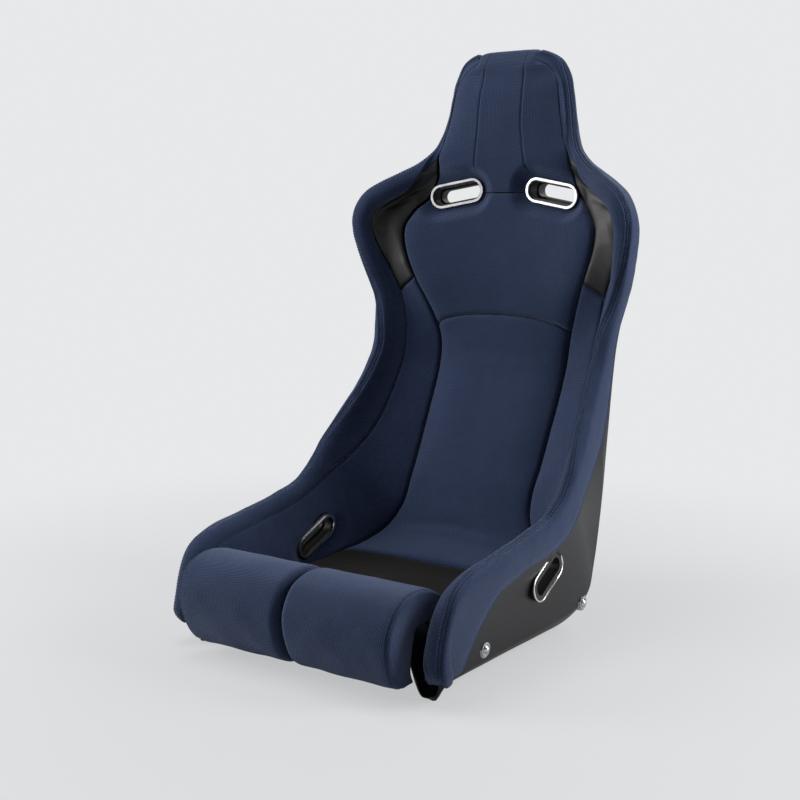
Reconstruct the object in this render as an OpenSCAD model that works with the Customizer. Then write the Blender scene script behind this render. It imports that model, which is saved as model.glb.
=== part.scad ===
// Fixed-back racing seat: a moulded shell with padded edge trims, cushions,
// harness slots with bezels, and threaded side mounts.
// Millimetres. +Z is up, the occupant faces -Y, X = 0 is the plane of symmetry,
// and Z = 0 is the surface that the seat stands on.

/* [Shell side profile] */
// Overall length of the shell from its front edge to the rear face of the back
shell_depth = 558; // [500:5:620]
// Height of the top edge of the shell
shell_height = 922; // [880:2:980]
// Height of the side wall's edge over the thighs
thigh_height = 160; // [140:2:180]
// Height of the narrowest part of the waist
waist_height = 430; // [400:5:460]
// Height of the widest part of the shoulder wings
shoulder_height = 635; // [600:5:660]
// Wall thickness of the shell
wall = 4; // [3:0.5:6]
// Height of the ramp that the pan rises to under the thighs
ramp_height = 98; // [70:2:104]

// How far the side walls lean in towards the floor, as a share of their half width
side_lean = 0.085; // [0:0.005:0.12]

/* [Shell half widths at the edge] */
// Beside the thighs
thigh_half_w = 246; // [215:1:290]
// At the waist
waist_half_w = 226; // [200:1:260]
// At the shoulder wings
wing_half_w = 267; // [240:1:300]
// At the middle of the headrest
head_half_w = 116; // [100:1:140]

/* [Shell depth from rear face to edge] */
// At the waist
waist_depth = 82; // [65:1:110]
// At the shoulder wings
wing_depth = 97; // [75:1:120]
// At the headrest
head_depth = 24; // [14:1:40]

/* [Upholstery] */
// Gap between the shell and what is bonded to it
bond_gap = 0.4; // [0.3:0.1:1]
// Gap between neighbouring cushions
cushion_gap = 2; // [1:0.5:4]
// Radius of the padded roll over the shell's edge
roll_radius = 17; // [14:0.5:22]
// How far the roll stands proud of the shell's outer face
roll_proud = 8; // [5:0.5:12]
// Width of the trim band on the shell's outer face
band_width = 50; // [30:1:60]
// Thickness of the trim band at its lower edge
band_thickness = 2.5; // [1.5:0.5:5]
// Height of the crown of the back cushions above their edges
cushion_crown = 14; // [6:1:22]

/* [Thigh pads] */
// Width of each thigh pad
thigh_pad_w = 194; // [160:1:196]
// Gap between the two thigh pads
thigh_pad_gap = 9; // [4:1:16]
// Height of the top of the thigh pads above the floor
thigh_pad_top = 152; // [140:1:175]
// Height of their lower edge above the floor
thigh_pad_foot = 18; // [10:1:40]
// Radius of their rounded ends
thigh_pad_round = 10; // [6:1:20]

/* [Harness slots] */
// Half the distance between the middles of the shoulder slots
shoulder_slot_x = 97; // [85:1:110]
// Height of the middle of the shoulder slots
shoulder_slot_z = 695; // [670:1:710]
// How much lower the shoulder slots lie outboard, in degrees
shoulder_slot_tilt = 10; // [0:1:15]
// Length and width of the hole in the shoulder bezels
shoulder_hole = [90, 28]; // [20:1:100]
// Distance of the middle of the lap belt slots from the rear face of the back
lap_slot_back = 289; // [270:1:310]
// Height of the middle of the lap belt slots
lap_slot_z = 121; // [112:1:132]
// Slope of the lap belt slots, in degrees
lap_slot_slope = 27; // [10:1:50]
// Length and width of the hole in the lap belt bezels
lap_hole = [84, 28]; // [20:1:90]
// Wall thickness of the bezels
bezel_wall = 3; // [2:0.5:4]
// Width of the bezel rims
bezel_rim = 7; // [5:0.5:9]

/* [Side mounts] */
// Distance between the front and rear bolts
mount_pitch = 290; // [270:1:300]
// Distance of the rear bolt from the rear face of the back
mount_back = 158; // [150:1:170]
// Height of the bolts above the floor
mount_z = 48; // [44:1:54]
// Diameter of the bolts
bolt_d = 8; // [6:1:10]

/* [Hidden] */
back_y = 302;                       // rear face of the back, from the origin
front_y = back_y - shell_depth;     // front edge of the shell
sink = 6;                           // the section is drawn this far under the floor, then cut flat

// Control sections of the shell, from the front edge to the top of the headrest.
// Each row: rear or underside centre [y, z], edge [y, z], half width, squareness
// of the corner, height of the pan's ramp, and then the upholstery: depth of the
// cushion face at the centre, depth and half width at the groove, roll scale.
function mix(a, b, t) = a + (b - a) * t;
pan_end_y = mix(front_y, back_y, 0.55);
pad_z = 76;                         // height of the groove beside the seat pad
foot_z = 24;                        // height of the edge trim's foot
function pan_y(t) = mix(front_y, pan_end_y, t);
function rise_z(t) = mix(thigh_height, waist_height, t);
function wing_z(t) = mix(waist_height, shoulder_height, t);
function neck_z(t) = mix(shoulder_height, shell_height, t);
function hip_w(t) = mix(thigh_half_w, waist_half_w, t);
function wing_w(t) = mix(waist_half_w, wing_half_w, t);
function head_w(t) = mix(wing_half_w, head_half_w, t);
rows = [
  //  centre y, z                    edge y, z                          half width        n
  //  ramp      face  groove depth, half width   roll
  [[pan_y(0.02), -sink],  [pan_y(0.01), foot_z + 2],             thigh_half_w - 10, 5.5,
    ramp_height - 6,      60,  20, 206, 1.00],
  [[pan_y(0.03), -sink],  [pan_y(-0.01), 60],                    thigh_half_w - 5,  5.5,
    ramp_height - 2,      70,  44, 203, 1.10],
  [[pan_y(0.05), -sink],  [pan_y(0.00), 100],                    thigh_half_w - 2,  5.5,
    ramp_height,          80,  62, 202, 1.10],
  [[pan_y(0.09), -sink],  [pan_y(0.06), thigh_height - 25],      thigh_half_w,      5.5,
    ramp_height - 2,      90,  74, 201, 1.08],
  [[pan_y(0.21), -sink],  [pan_y(0.19), thigh_height - 7],       thigh_half_w,      5.5,
    ramp_height - 16,     96,  pad_z + sink, 200, 1.05],
  [[pan_y(0.43), -sink],  [pan_y(0.40), thigh_height + 5],       thigh_half_w,      5.5,
    ramp_height * 0.4,    98,  pad_z + sink, 199, 1],
  [[pan_y(0.69), -sink],  [pan_y(0.66), thigh_height + 20],      thigh_half_w,      5.5,
    6,                    99,  pad_z + sink, 198, 0.95],
  [[pan_y(1.00), -sink],  [pan_y(0.85), rise_z(0.13)],           thigh_half_w + 1,  5.5,
    0,                    102, pad_z + 14, 194, 0.92],
  [[back_y - 164, -4],    [back_y - 259, rise_z(0.21)],          thigh_half_w + 2,  5.5,
    0,                    122, 104, 180, 0.9],
  [[back_y - 108, 16],    [back_y - 232, rise_z(0.30)],          thigh_half_w + 2,  5.4,
    0,                    136, 118, 152, 0.9],
  [[back_y - 87, 60],     [back_y - 212, rise_z(0.39)],          thigh_half_w,      5,
    0,                    130, 120, 128, 0.9],
  [[back_y - 73, 112],    [back_y - 190, rise_z(0.48)],          hip_w(0.15), 4.7,
    0,                    122, 112, 123, 0.9],
  [[back_y - 53, 172],    [back_y - 164, rise_z(0.59)],          hip_w(0.4), 4.4,
    0,                    108, 97, 124, 0.9],
  [[back_y - 29, 242],    [back_y - 139, rise_z(0.70)],          hip_w(0.7), 4,
    0,                    92,  82, 125, 0.88],
  [[back_y - 13, 308],    [back_y - 116, rise_z(0.82)],          hip_w(0.93), 3.8,
    0,                    74,  64, 126, 0.87],
  [[back_y - 5, 370],     [back_y - 93, rise_z(0.97)],           waist_half_w - 1,  3.6,
    0,                    56,  46, 127, 0.86],
  [[back_y - 2, waist_height], [back_y - waist_depth, rise_z(1.13)], waist_half_w + 2, 3.4,
    0,                    47,  37, 130, 0.86],
  [[back_y - 1, wing_z(0.29)], [back_y - waist_depth + 10, wing_z(0.38)], wing_w(0.24), 3.2,
    0,                    48,  50, 148, 0.9],
  [[back_y, wing_z(0.56)], [back_y - waist_depth + 7, wing_z(0.57)], wing_w(0.54), 3,
    0,                    50,  64, 167, 0.96],
  [[back_y, wing_z(0.80)], [back_y - mix(waist_depth, wing_depth, 0.4), wing_z(0.80)], wing_w(0.83), 2.9,
    0,                    50,  70, 184, 1],
  [[back_y, shoulder_height], [back_y - wing_depth, shoulder_height], wing_half_w, 2.8,
    0,                    50,  68, 188, 1.04],
  [[back_y, neck_z(0.105)], [back_y - wing_depth - 2, neck_z(0.105)], wing_half_w - 5, 2.8,
    0,                    50,  58, 172, 1.04],
  [[back_y, neck_z(0.19)], [back_y - wing_depth + 2, neck_z(0.19)], wing_half_w - 20, 2.8,
    0,                    49,  46, 150, 1.04],
  [[back_y, neck_z(0.25)], [back_y - wing_depth + 13, neck_z(0.25)], head_w(0.29), 2.8,
    0,                    49,  42, 140, 1.04],
  [[back_y + 1, neck_z(0.31)], [back_y - wing_depth + 31, neck_z(0.31)], head_w(0.49), 2.8,
    0,                    51,  42, 134, 1.04],
  [[back_y + 2, neck_z(0.365)], [back_y - wing_depth + 48, neck_z(0.365)], head_w(0.68), 2.9,
    0,                    54,  48, 130, 1.04],
  [[back_y + 3, neck_z(0.435)], [back_y - wing_depth + 60, neck_z(0.435)], head_w(0.83), 3,
    0,                    58,  54, 128, 1.04],
  [[back_y + 5, neck_z(0.52)], [back_y - head_depth - 2, neck_z(0.52)], head_half_w + 12, 3,
    0,                    62,  53, 118, 1.04],
  [[back_y + 6, neck_z(0.64)], [back_y - head_depth + 7, neck_z(0.64)], head_half_w + 1, 3,
    0,                    64,  49, 110, 1.04],
  [[back_y + 6, neck_z(0.78)], [back_y - head_depth + 11, neck_z(0.78)], head_half_w - 6, 3,
    0,                    58,  45, 103, 1.04],
  [[back_y + 5, neck_z(0.89)], [back_y - head_depth + 11, neck_z(0.873)], head_half_w - 11, 3,
    0,                    54,  43, 98, 1.04],
  [[back_y + 2, neck_z(0.955)], [back_y - head_depth + 12, neck_z(0.935)], head_half_w - 22, 3,
    0,                    49,  39, 88, 1.04],
  [[back_y - 3, neck_z(0.985)], [back_y - head_depth + 11, neck_z(0.972)], head_half_w - 37, 3,
    0,                    42,  35, 74, 1.04],
  [[back_y - 9, shell_height + 1], [back_y - head_depth + 9, shell_height - 1], head_half_w - 57, 3,
    0,                    32,  28, 54, 1.04],
];

// The rows blended by Catmull-Rom curves into stations. A place along the seat is
// given in rows, and lies on the straight facets between two stations.
last = len(rows) - 1;
station_count = 44;
function curve(a, b, c, d, t) = 0.5 * (2 * b + (c - a) * t + (2 * a - 5 * b + 4 * c - d) * t * t
  + (3 * b - a - 3 * c + d) * t * t * t);
function blend_at(k, t, f) = curve(rows[max(k - 1, 0)][f], rows[k][f], rows[min(k + 1, last)][f],
  rows[min(k + 2, last)][f], t);
function station(r) = let (k = min(floor(r), last - 1)) [for (f = [0:8]) blend_at(k, r - k, f)];
stations = [for (i = [0:station_count]) station(i * last / station_count)];
function row_of(i) = i * last / station_count;

// Point of the shell's outer face: station i, and a lateral angle from -90 (left
// edge) over 0 (centre line) to 90 (right edge) round a superellipse.
function smooth(t) = let (c = max(0, min(1, t))) c * c * (3 - 2 * c);
function section(s, a) = let (
    k = 2 / s[3],
    square = smooth((s[3] - 4) / 1.2),
    d = 1 - pow(cos(a), k),
    flat = min(1, (1 + 0.06 * square) * pow(sin(abs(a)), k)),
    u = sign(a) * s[2] * flat * (1 - side_lean * square * (1 - d)),
    lift = max(0, s[4]) * (1 - smooth((abs(u) - 150) / 48)))
  [u, mix(s[0][0], s[1][0], d), max(0, mix(s[0][1], s[1][1], d)) + lift];
function outer(i, a) = section(stations[max(0, min(station_count, i))], max(-90, min(90, a)));
function unit(v) = v / norm(v);
// Unit normal of the shell's outer face, pointing towards the occupant
function inward(i, a) = unit(cross(outer(i, a + 2) - outer(i, a - 2), outer(i + 1, a) - outer(i - 1, a)));
// Point at a depth under (positive) or over (negative) the shell's outer face
function skin_at(i, a, depth) = outer(i, a) + depth * inward(i, a);
function cell(r) = min(floor(r * station_count / last), station_count - 1);
function part_of(r) = r * station_count / last - cell(r);
function skin(r, a, depth) = mix(skin_at(cell(r), a, depth), skin_at(cell(r) + 1, a, depth), part_of(r));
function at(r, f) = mix(stations[cell(r)][f], stations[cell(r) + 1][f], part_of(r));
// Lateral angle at which the section is u wide
function angle_at(r, u) = asin(pow(min(1, abs(u) / at(r, 2)), at(r, 3) / 2)) * sign(u);

// Point in the hollow of the seat: depth from the centre line's outer face
// along the section's plane, at half width u
function inside(r, u, depth) = let (c = at(r, 0), k = at(r, 1), t = depth / norm(k - c))
  [u, mix(c[0], k[0], t), mix(c[1], k[1], t)];

// The padded roll over the shell's right edge: centre, outward and forward directions
function edge_along(i) = unit(outer(i + 1, 90) - outer(i - 1, 90));
function edge_out(i) = let (n = -inward(i, mix(90, 55, smooth((row_of(i) - last + 3) / 2.6))),
  t = edge_along(i)) unit(n - (n * t) * t);
function edge_ahead(i) = cross(edge_out(i), edge_along(i));
function roll_r(i) = roll_radius * stations[i][8];
function roll_point(i, turn) = outer(i, 90) - (roll_r(i) - roll_proud) * edge_out(i)
  + roll_r(i) * (sin(turn) * edge_out(i) + cos(turn) * edge_ahead(i));
// Inner face of the bolster, from the roll (e = 0) to the groove (e = 1)
function groove(i) = inside(row_of(i), stations[i][7], stations[i][6]);
// The roll turns inwards to meet the face, less so beside the headrest pad
function neck(r) = smooth((r - 23.4) / 2.4);
roll_turns = [70, 35, 0, -40, -90];
neck_turns = [75, 60, 47, 35, 22];
function turn_at(i, k) = mix(roll_turns[k], neck_turns[k], neck(row_of(i)));
function face_at(i, e) = let (q = roll_point(i, turn_at(i, 4)), g = groove(i), reach = norm(q - g),
    m = q - edge_ahead(i) * reach * 0.38, h = mix(g, q, 0.34))
  pow(1 - e, 3) * q + 3 * pow(1 - e, 2) * e * m + 3 * (1 - e) * e * e * h + pow(e, 3) * g;
function face(r, e) = mix(face_at(cell(r), e), face_at(cell(r) + 1, e), part_of(r));
// Lateral angle of the shell under a point of the bolster's face
function face_angle(r, e) = mix(84, angle_at(r, at(r, 7)), e);
// Where the seam between edge trim and side panel lies on that face
function seam(r) = 0.06 + 0.32 * smooth((r - 7) / 6) * (1 - smooth((r - 17) / 3.2)) + 0.94 * smooth(r - 24.8);

// Depth of the padding's underside, a little clear of the pan's ramp
function bed(r) = wall + 2 * bond_gap + 1.2 * (1 - smooth((r - 6) / 3));

// Solid between two grids of points of the same size
function grid_faces(m, n) = [for (i = [0:m - 2], j = [0:n - 2], h = [0, 1])
  let (a = i * n + j, c = a + n) h == 0 ? [a, a + 1, c + 1] : [a, c + 1, c]];
function flipped(faces) = [for (f = faces) [f[2], f[1], f[0]]];
function shifted(faces, by) = [for (f = faces) f + [by, by, by]];
function border(m, n) = concat([for (j = [0:n - 1]) j], [for (i = [1:m - 1]) i * n + n - 1],
  [for (j = [n - 2:-1:0]) (m - 1) * n + j], [for (i = [m - 2:-1:1]) i * n]);
module slab(front, back) {
  m = len(front);
  n = len(front[0]);
  points = [for (g = [front, back], line = g, p = line) p];
  edge = border(m, n);
  count = len(edge);
  sides = [for (e = [0:count - 1], h = [0, 1])
    let (a = edge[e], b = edge[(e + 1) % count], c = a + m * n, d = b + m * n)
    a < b ? (h == 0 ? [a, c, b] : [b, c, d]) : (h == 0 ? [a, c, d] : [a, d, b])];
  polyhedron(points, concat(grid_faces(m, n), shifted(flipped(grid_faces(m, n)), m * n), sides));
}
module both_sides(side) {
  if (side > 0) children();
  if (side < 0) mirror([1, 0, 0]) children();
}

// ---- Shell -----------------------------------------------------------------
half_angles = [9, 17, 24, 31, 38, 51, 62, 71, 79, 85, 90];
angles = concat([for (j = [len(half_angles) - 1:-1:0]) -half_angles[j]], [0], half_angles);
module shell_skin() {
  slab([for (i = [0:station_count]) [for (a = angles) skin_at(i, a, wall)]],
    [for (i = [0:station_count]) [for (a = angles) outer(i, a)]]);
}

// ---- Edge trim -------------------------------------------------------------
trim_end = station_count;
function dip(r, middle, reach) = smooth(1 - abs(r - middle) / reach);
// Width of the band down the shell's outer face, ending above the foot
function band(r) = min(at(r, 1)[1] - foot_z,
  band_width * (1 + 0.9 * smooth((4.6 - r) / 1.4) - 0.34 * dip(r, 6.3, 2.6) - 0.6 * dip(r, 16.3, 3.4)));
function band_angle(i) = let (s = stations[i], depth = norm(s[1] - s[0]))
  acos(pow(min(0.75, band(row_of(i)) / depth), s[3] / 2));
band_steps = [0, 0.3, 0.6, 0.82, 1];
function trim_front(i) = concat(
  [for (t = [0, 0.25, 0.5, 0.72, 0.9])
    skin_at(i, mix(band_angle(i), 90, t), -mix(band_thickness, roll_proud, t))],
  [for (k = [0:4]) roll_point(i, turn_at(i, k))],
  [for (t = [0.5, 1]) face_at(i, t * seam(row_of(i)))]);
function trim_back(i) = let (end = face_angle(row_of(i), seam(row_of(i)))) concat(
  [for (t = band_steps) skin_at(i, mix(band_angle(i), 90, t), -bond_gap) + t * bond_gap * edge_ahead(i)],
  [skin_at(i, 90, wall + bond_gap) + bond_gap * edge_ahead(i)],
  [for (t = [1:6]) skin_at(i, mix(90, end, t / 6), wall + bond_gap)]);
module edge_trim(side) {
  both_sides(side) slab([for (i = [0:trim_end]) trim_front(i)], [for (i = [0:trim_end]) trim_back(i)]);
}

// ---- Side panels, from the trim's seam to the groove ------------------------
insert_foot = 17.3;                 // row of the shoulder insert's tip
insert_slant = 0.75;                // rows by which its lower edge rises towards the groove
insert_top = 25.6;
function own_rows(r0, r1) = concat([r0],
  [for (i = [0:station_count]) if (row_of(i) > r0 + 0.1 && row_of(i) < r1 - 0.1) row_of(i)], [r1]);
side_cols = [0, 0.1, 0.25, 0.42, 0.6, 0.78, 0.93, 1];
function panel_e(r, t) = mix(seam(r) + 0.014, 1, t);
function slanted(r, t) = r + insert_slant * t * smooth((r - insert_foot + 2) / 2);
function panel_front(r, t) = face(slanted(r, t), panel_e(slanted(r, t), t));
function panel_back(r, t) = let (q = slanted(r, t)) skin(q, face_angle(q, panel_e(q, t)), bed(q));
module side_panel(side) {
  lines = own_rows(0, insert_foot);
  both_sides(side) slab([for (r = lines) [for (t = side_cols) panel_front(r, t)]],
    [for (r = lines) [for (t = side_cols) panel_back(r, t)]]);
}

// ---- Shoulder inserts -------------------------------------------------------
function insert_row(r, t) = mix(r + insert_slant * t, r, smooth((r - insert_foot) / 3));
function insert_e(r, t) = mix(seam(r) + 0.014, 1, t);
function insert_front(r, t) = let (q = insert_row(r, t)) face(q, insert_e(q, t));
function insert_back(r, t) = let (q = insert_row(r, t)) skin(q, face_angle(q, insert_e(q, t)), bed(q));
module insert(side) {
  lines = own_rows(insert_foot + 0.03, insert_top);
  both_sides(side) difference() {
    slab([for (r = lines) [for (t = side_cols) insert_front(r, t)]],
      [for (r = lines) [for (t = side_cols) insert_back(r, t)]]);
    shoulder_cut(bezel_rim + 1);
  }
}

// ---- Cushions ---------------------------------------------------------------
half_cols = [0.3, 0.6, 0.78, 0.85, 0.91, 0.965, 1];
cushion_cols = concat([for (k = [6:-1:0]) -half_cols[k]], [0], half_cols);
function cushion_u(r, v) = v * (at(r, 7) - cushion_gap);
function cushion_depth(r, v, ends) = mix(at(r, 5), at(r, 6) + cushion_crown, v * v)
  - cushion_crown * max(pow(abs(v), 10), ends);
function cushion_front(r, v, ends) = inside(r, cushion_u(r, v), cushion_depth(r, v, ends));
function cushion_back(r, v) = skin(r, angle_at(r, cushion_u(r, v)), bed(r));
// Cushion between two curved ends: row = foot + foot_arch, up to head + head_arch,
// where each arch rises towards the centre line
module cushion(foot, foot_arch, head, head_arch) {
  lines = own_rows(foot, head);
  count = len(lines) - 1;
  function arch(v, t) = (1 - v * v) * mix(foot_arch, head_arch, t);
  function along(k, v) = let (t = (lines[k] - foot) / (head - foot)) lines[k] + arch(v, t);
  function ends(k) = k == 0 || k == count ? 1 : k == 1 || k == count - 1 ? 0.12 : 0;
  slab([for (k = [0:count]) [for (v = cushion_cols) cushion_front(along(k, v), v, ends(k))]],
    [for (k = [0:count]) [for (v = cushion_cols) cushion_back(along(k, v), v)]]);
}
seat_row = 7.35;                    // where seat pad and back cushion meet
arch_row = 16.35;                   // ends of the seam between lower and upper back cushion
arch_rise = 0.42;
neck_row = 22.35;                   // seam between upper back cushion and headrest pad
seam_gap = 0.03;                    // gap at those seams, in rows
module seat_pad_form() cushion(4.75, 0, seat_row - seam_gap, 0);
module lower_cushion_form() cushion(seat_row + seam_gap, 0, arch_row - seam_gap, arch_rise);
module upper_cushion_form() cushion(arch_row + seam_gap, arch_rise, neck_row - seam_gap, 0);

// ---- Headrest pad, wrapped over the top edge of the shell --------------------
top_band = 4;                       // stations that it reaches down the rear face
function top_angle(v) = angle_at(last, v * (at(last, 7) - cushion_gap));
function top_out(v) = -inward(station_count, top_angle(v));
function top_point(v) = outer(station_count, top_angle(v));
function top_ahead(v) = let (n = top_out(v)) unit([0, -n[2], n[1]]);
function top_roll(v, turn) = let (r = roll_radius * at(last, 8))
  top_point(v) - (r - roll_proud) * top_out(v) + r * (sin(turn) * top_out(v) + cos(turn) * top_ahead(v));
function rear_band(k, v, depth) = let (r = row_of(station_count - k))
  skin_at(station_count - k, angle_at(r, v * (0.8 * at(r, 2) - cushion_gap)), depth);
module headrest_form() {
  lines = own_rows(neck_row + seam_gap, last);
  count = len(lines) - 1;
  function ends(k) = k == 0 ? 1 : k == 1 ? 0.12 : 0;
  slab(concat(
      [for (k = [0:count]) [for (v = cushion_cols) cushion_front(lines[k], v, ends(k))]],
      [for (turn = [8, 28, 48, 66, 84]) [for (v = cushion_cols) top_roll(v, turn)]],
      [for (k = [1:top_band]) [for (v = cushion_cols)
        rear_band(k, v, -mix(roll_proud, band_thickness, k / top_band))]]),
    concat(
      [for (k = [0:count]) [for (v = cushion_cols) cushion_back(lines[k], v)]],
      [for (k = [0:4]) [for (v = cushion_cols)
        top_point(v) + mix(wall + bond_gap, -bond_gap, k / 4) * -top_out(v) + bond_gap * top_ahead(v)]],
      [for (k = [1:top_band]) [for (v = cushion_cols) rear_band(k, v, -bond_gap)]]));
}

// ---- Thigh pads: a thick roll over the front edge of the pan ------------------
pad_rest_z = ramp_height + wall + 0.6;
pad_tail_y = front_y + 78;
thigh_out = [
  [front_y - 6, thigh_pad_foot + 2], [front_y - 27, thigh_pad_foot],
  [front_y - 44, thigh_pad_foot + 20], [front_y - 52, mix(thigh_pad_foot, thigh_pad_top, 0.42)],
  [front_y - 48, mix(thigh_pad_foot, thigh_pad_top, 0.7)], [front_y - 32, thigh_pad_top - 12],
  [front_y - 6, thigh_pad_top], [front_y + 28, thigh_pad_top - 5], [front_y + 58, thigh_pad_top - 20],
  [pad_tail_y + 4, pad_rest_z + 12]];
thigh_in = [
  [front_y - 4, thigh_pad_foot + 8], [front_y - 4, thigh_pad_foot + 26], [front_y - 4, pad_rest_z - 40],
  [front_y - 4, pad_rest_z - 18], [front_y - 3, pad_rest_z - 5], [front_y + 6, pad_rest_z],
  [front_y + 24, pad_rest_z], [front_y + 42, pad_rest_z], [front_y + 60, pad_rest_z],
  [pad_tail_y, pad_rest_z]];
thigh_lines = [[0, 0.9], [0.15, 0.95], [0.5, 0.985], [1, 1]];    // place in the round end, fullness
module thigh_pad(side) {
  ends = concat(
    [for (q = thigh_lines) [q[0] * thigh_pad_round, q[1]]],
    [[thigh_pad_w / 2, 1.02]],
    [for (k = [3:-1:0]) [thigh_pad_w - thigh_lines[k][0] * thigh_pad_round, thigh_lines[k][1]]]);
  both_sides(side) translate([thigh_pad_gap / 2, 0, 0])
    slab([for (j = [0:9]) [for (q = ends) let (p = mix(thigh_in[j], thigh_out[j], q[1])) [q[0], p[0], p[1]]]],
      [for (j = [0:9]) [for (q = ends) [q[0], thigh_in[j][0], thigh_in[j][1]]]]);
}

// ---- Harness slot bezels ------------------------------------------------------
module capsule(hole, grow) {
  w = hole[1] + 2 * grow;
  run = hole[0] - hole[1];
  union() {
    square([run, w], center = true);
    translate([-run / 2, 0]) circle(d = w, $fn = 48);
    translate([run / 2, 0]) circle(d = w, $fn = 48);
  }
}
module capsule_tube(hole, outside, inside, z0, z1) {
  translate([0, 0, z0]) linear_extrude(z1 - z0) difference() {
    capsule(hole, outside);
    capsule(hole, inside);
  }
}
module capsule_block(hole, grow, z0, z1) {
  translate([0, 0, z0]) linear_extrude(z1 - z0) capsule(hole, grow);
}
// Local frames at the slots on the right: z leaves the shell, towards the rear for
// the shoulder slots and to the side for the lap belt slots
shoulder_row = 22.25;
function seat_point(r, x) = skin(r, angle_at(r, x), 0);
shoulder_rear = seat_point(shoulder_row, shoulder_slot_x);
shoulder_yaw = atan((seat_point(shoulder_row, shoulder_slot_x - 40)[1]
  - seat_point(shoulder_row, shoulder_slot_x + 40)[1]) / 80);
lap_y = back_y - lap_slot_back;
lap_row = 6.9;
lap_share = (lap_slot_z + sink) / (at(lap_row, 1)[1] + sink);
lap_face_x = skin(lap_row, acos(pow(1 - lap_share, at(lap_row, 3) / 2)), 0)[0] + 0.3;
lap_lean = atan(side_lean * thigh_half_w / (at(lap_row, 1)[1] + sink));
module at_shoulder() {
  translate([shoulder_slot_x, shoulder_rear[1], shoulder_slot_z])
    rotate([0, shoulder_slot_tilt, -shoulder_yaw]) rotate([-90, 0, 0]) children();
}
module at_lap() {
  translate([lap_face_x, lap_y, lap_slot_z]) rotate([0, -lap_lean, 0]) rotate([90, 0, 90])
    rotate([0, 0, lap_slot_slope]) children();
}
shoulder_depth = 36;                // from the rear face of the shell to the front rim
lap_depth = 33;                     // from the outer face of the shell to the inner rim
rim_t = 4;
module shoulder_cut(grow) { at_shoulder() capsule_block(shoulder_hole, grow, -150, 30); }
module lap_cut(grow) { at_lap() capsule_block(lap_hole, grow, -100, 30); }
module sleeve(hole, depth) {
  capsule_tube(hole, bezel_wall, 0, -depth, -1);
  capsule_tube(hole, bezel_rim, 0, -depth, -depth + rim_t);
}
module counter_bezel(hole) {
  capsule_tube(hole, bezel_rim, -bezel_wall, 0.3, rim_t - 0.5);
  capsule_tube(hole, -0.3, -bezel_wall, -16, 0.3);
}
module ring(hole) {
  capsule_tube(hole, bezel_rim - 0.5, 2.5, -rim_t, 0);
}
module shoulder_bezel(side) { both_sides(side) at_shoulder() sleeve(shoulder_hole, shoulder_depth); }
module shoulder_rear_bezel(side) { both_sides(side) at_shoulder() counter_bezel(shoulder_hole); }
module shoulder_ring(side) {
  both_sides(side) at_shoulder() translate([0, 0, -shoulder_depth - 0.1]) ring(shoulder_hole);
}
module lap_bezel(side) { both_sides(side) at_lap() sleeve(lap_hole, lap_depth); }
module lap_outer_bezel(side) { both_sides(side) at_lap() counter_bezel(lap_hole); }
module lap_ring(side) { both_sides(side) at_lap() translate([0, 0, -lap_depth - 0.1]) ring(lap_hole); }

// ---- Side mounts --------------------------------------------------------------
mount_face_x = thigh_half_w * (1 - side_lean * 0.67);   // side wall at that height
rear_mount_y = back_y - mount_back;
front_mount_y = rear_mount_y - mount_pitch;
bolt_clear = 0.5;
insert_r = 13;
insert_len = 18;
washer_t = 2;
head_r = bolt_d * 0.82;
head_h = bolt_d * 0.55;
module at_mounts(side) {
  for (y = [front_mount_y, rear_mount_y])
    both_sides(side) translate([mount_face_x, y, mount_z]) rotate([0, 90, 0]) children();
}
module side_bolts() {
  for (side = [-1, 1]) at_mounts(side) {
    translate([0, 0, 1 - insert_len]) cylinder(d = bolt_d, h = insert_len + washer_t - 0.9, $fn = 40);
    translate([0, 0, washer_t + 0.1]) intersection() {
      cylinder(r = head_r, h = head_h, $fn = 48);
      translate([0, 0, head_h - head_r * 1.25]) sphere(r = head_r * 1.25, $fn = 48);
    }
  }
}
module side_washers() {
  for (side = [-1, 1]) at_mounts(side) difference() {
    cylinder(d = bolt_d * 2.6, h = washer_t, $fn = 48);
    translate([0, 0, -1]) cylinder(d = bolt_d + 2 * bolt_clear, h = washer_t + 2, $fn = 40);
  }
}

module side_inserts(side) {
  at_mounts(side) difference() {
    union() {
      translate([0, 0, -insert_len]) cylinder(r = insert_r, h = insert_len, $fn = 48);
      translate([0, 0, -insert_len]) cylinder(r = insert_r + 3, h = 3, $fn = 48);
    }
    translate([0, 0, -insert_len - 1]) cylinder(d = bolt_d + 0.1, h = insert_len + 2, $fn = 40);
  }
}
module insert_pockets() {
  at_mounts(1) translate([0, 0, -insert_len - 4]) cylinder(r = insert_r + 8, h = insert_len, $fn = 32);
}

// ---- Assembly -----------------------------------------------------------------
cloth = [0.09, 0.12, 0.22];
smooth_black = [0.05, 0.05, 0.055];
module shell() {
  color([0.04, 0.04, 0.045]) difference() {
    shell_skin();
    for (side = [-1, 1]) {
      both_sides(side) at_shoulder() capsule_block(shoulder_hole, bezel_wall + 0.4, -12, 12);
      both_sides(side) at_lap() capsule_block(lap_hole, bezel_wall + 0.4, -12, 12);
      at_mounts(side) translate([0, 0, -30]) cylinder(r = insert_r + 0.3, h = 50, $fn = 32);
    }
  }
}
module edge_trim_cut(side) {
  difference() {
    edge_trim(side);
    both_sides(side) lap_cut(bezel_rim + 1);
  }
}
module side_panel_cut(side) {
  difference() {
    side_panel(side);
    both_sides(side) lap_cut(bezel_rim + 1);
    both_sides(side) insert_pockets();
  }
}
module edge_trim_left() { color(cloth) edge_trim_cut(-1); }
module edge_trim_right() { color(cloth) edge_trim_cut(1); }
module side_panel_left() { color(cloth) side_panel_cut(-1); }
module side_panel_right() { color(cloth) side_panel_cut(1); }
module shoulder_insert_left() { color(smooth_black) insert(-1); }
module shoulder_insert_right() { color(smooth_black) insert(1); }
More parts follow.
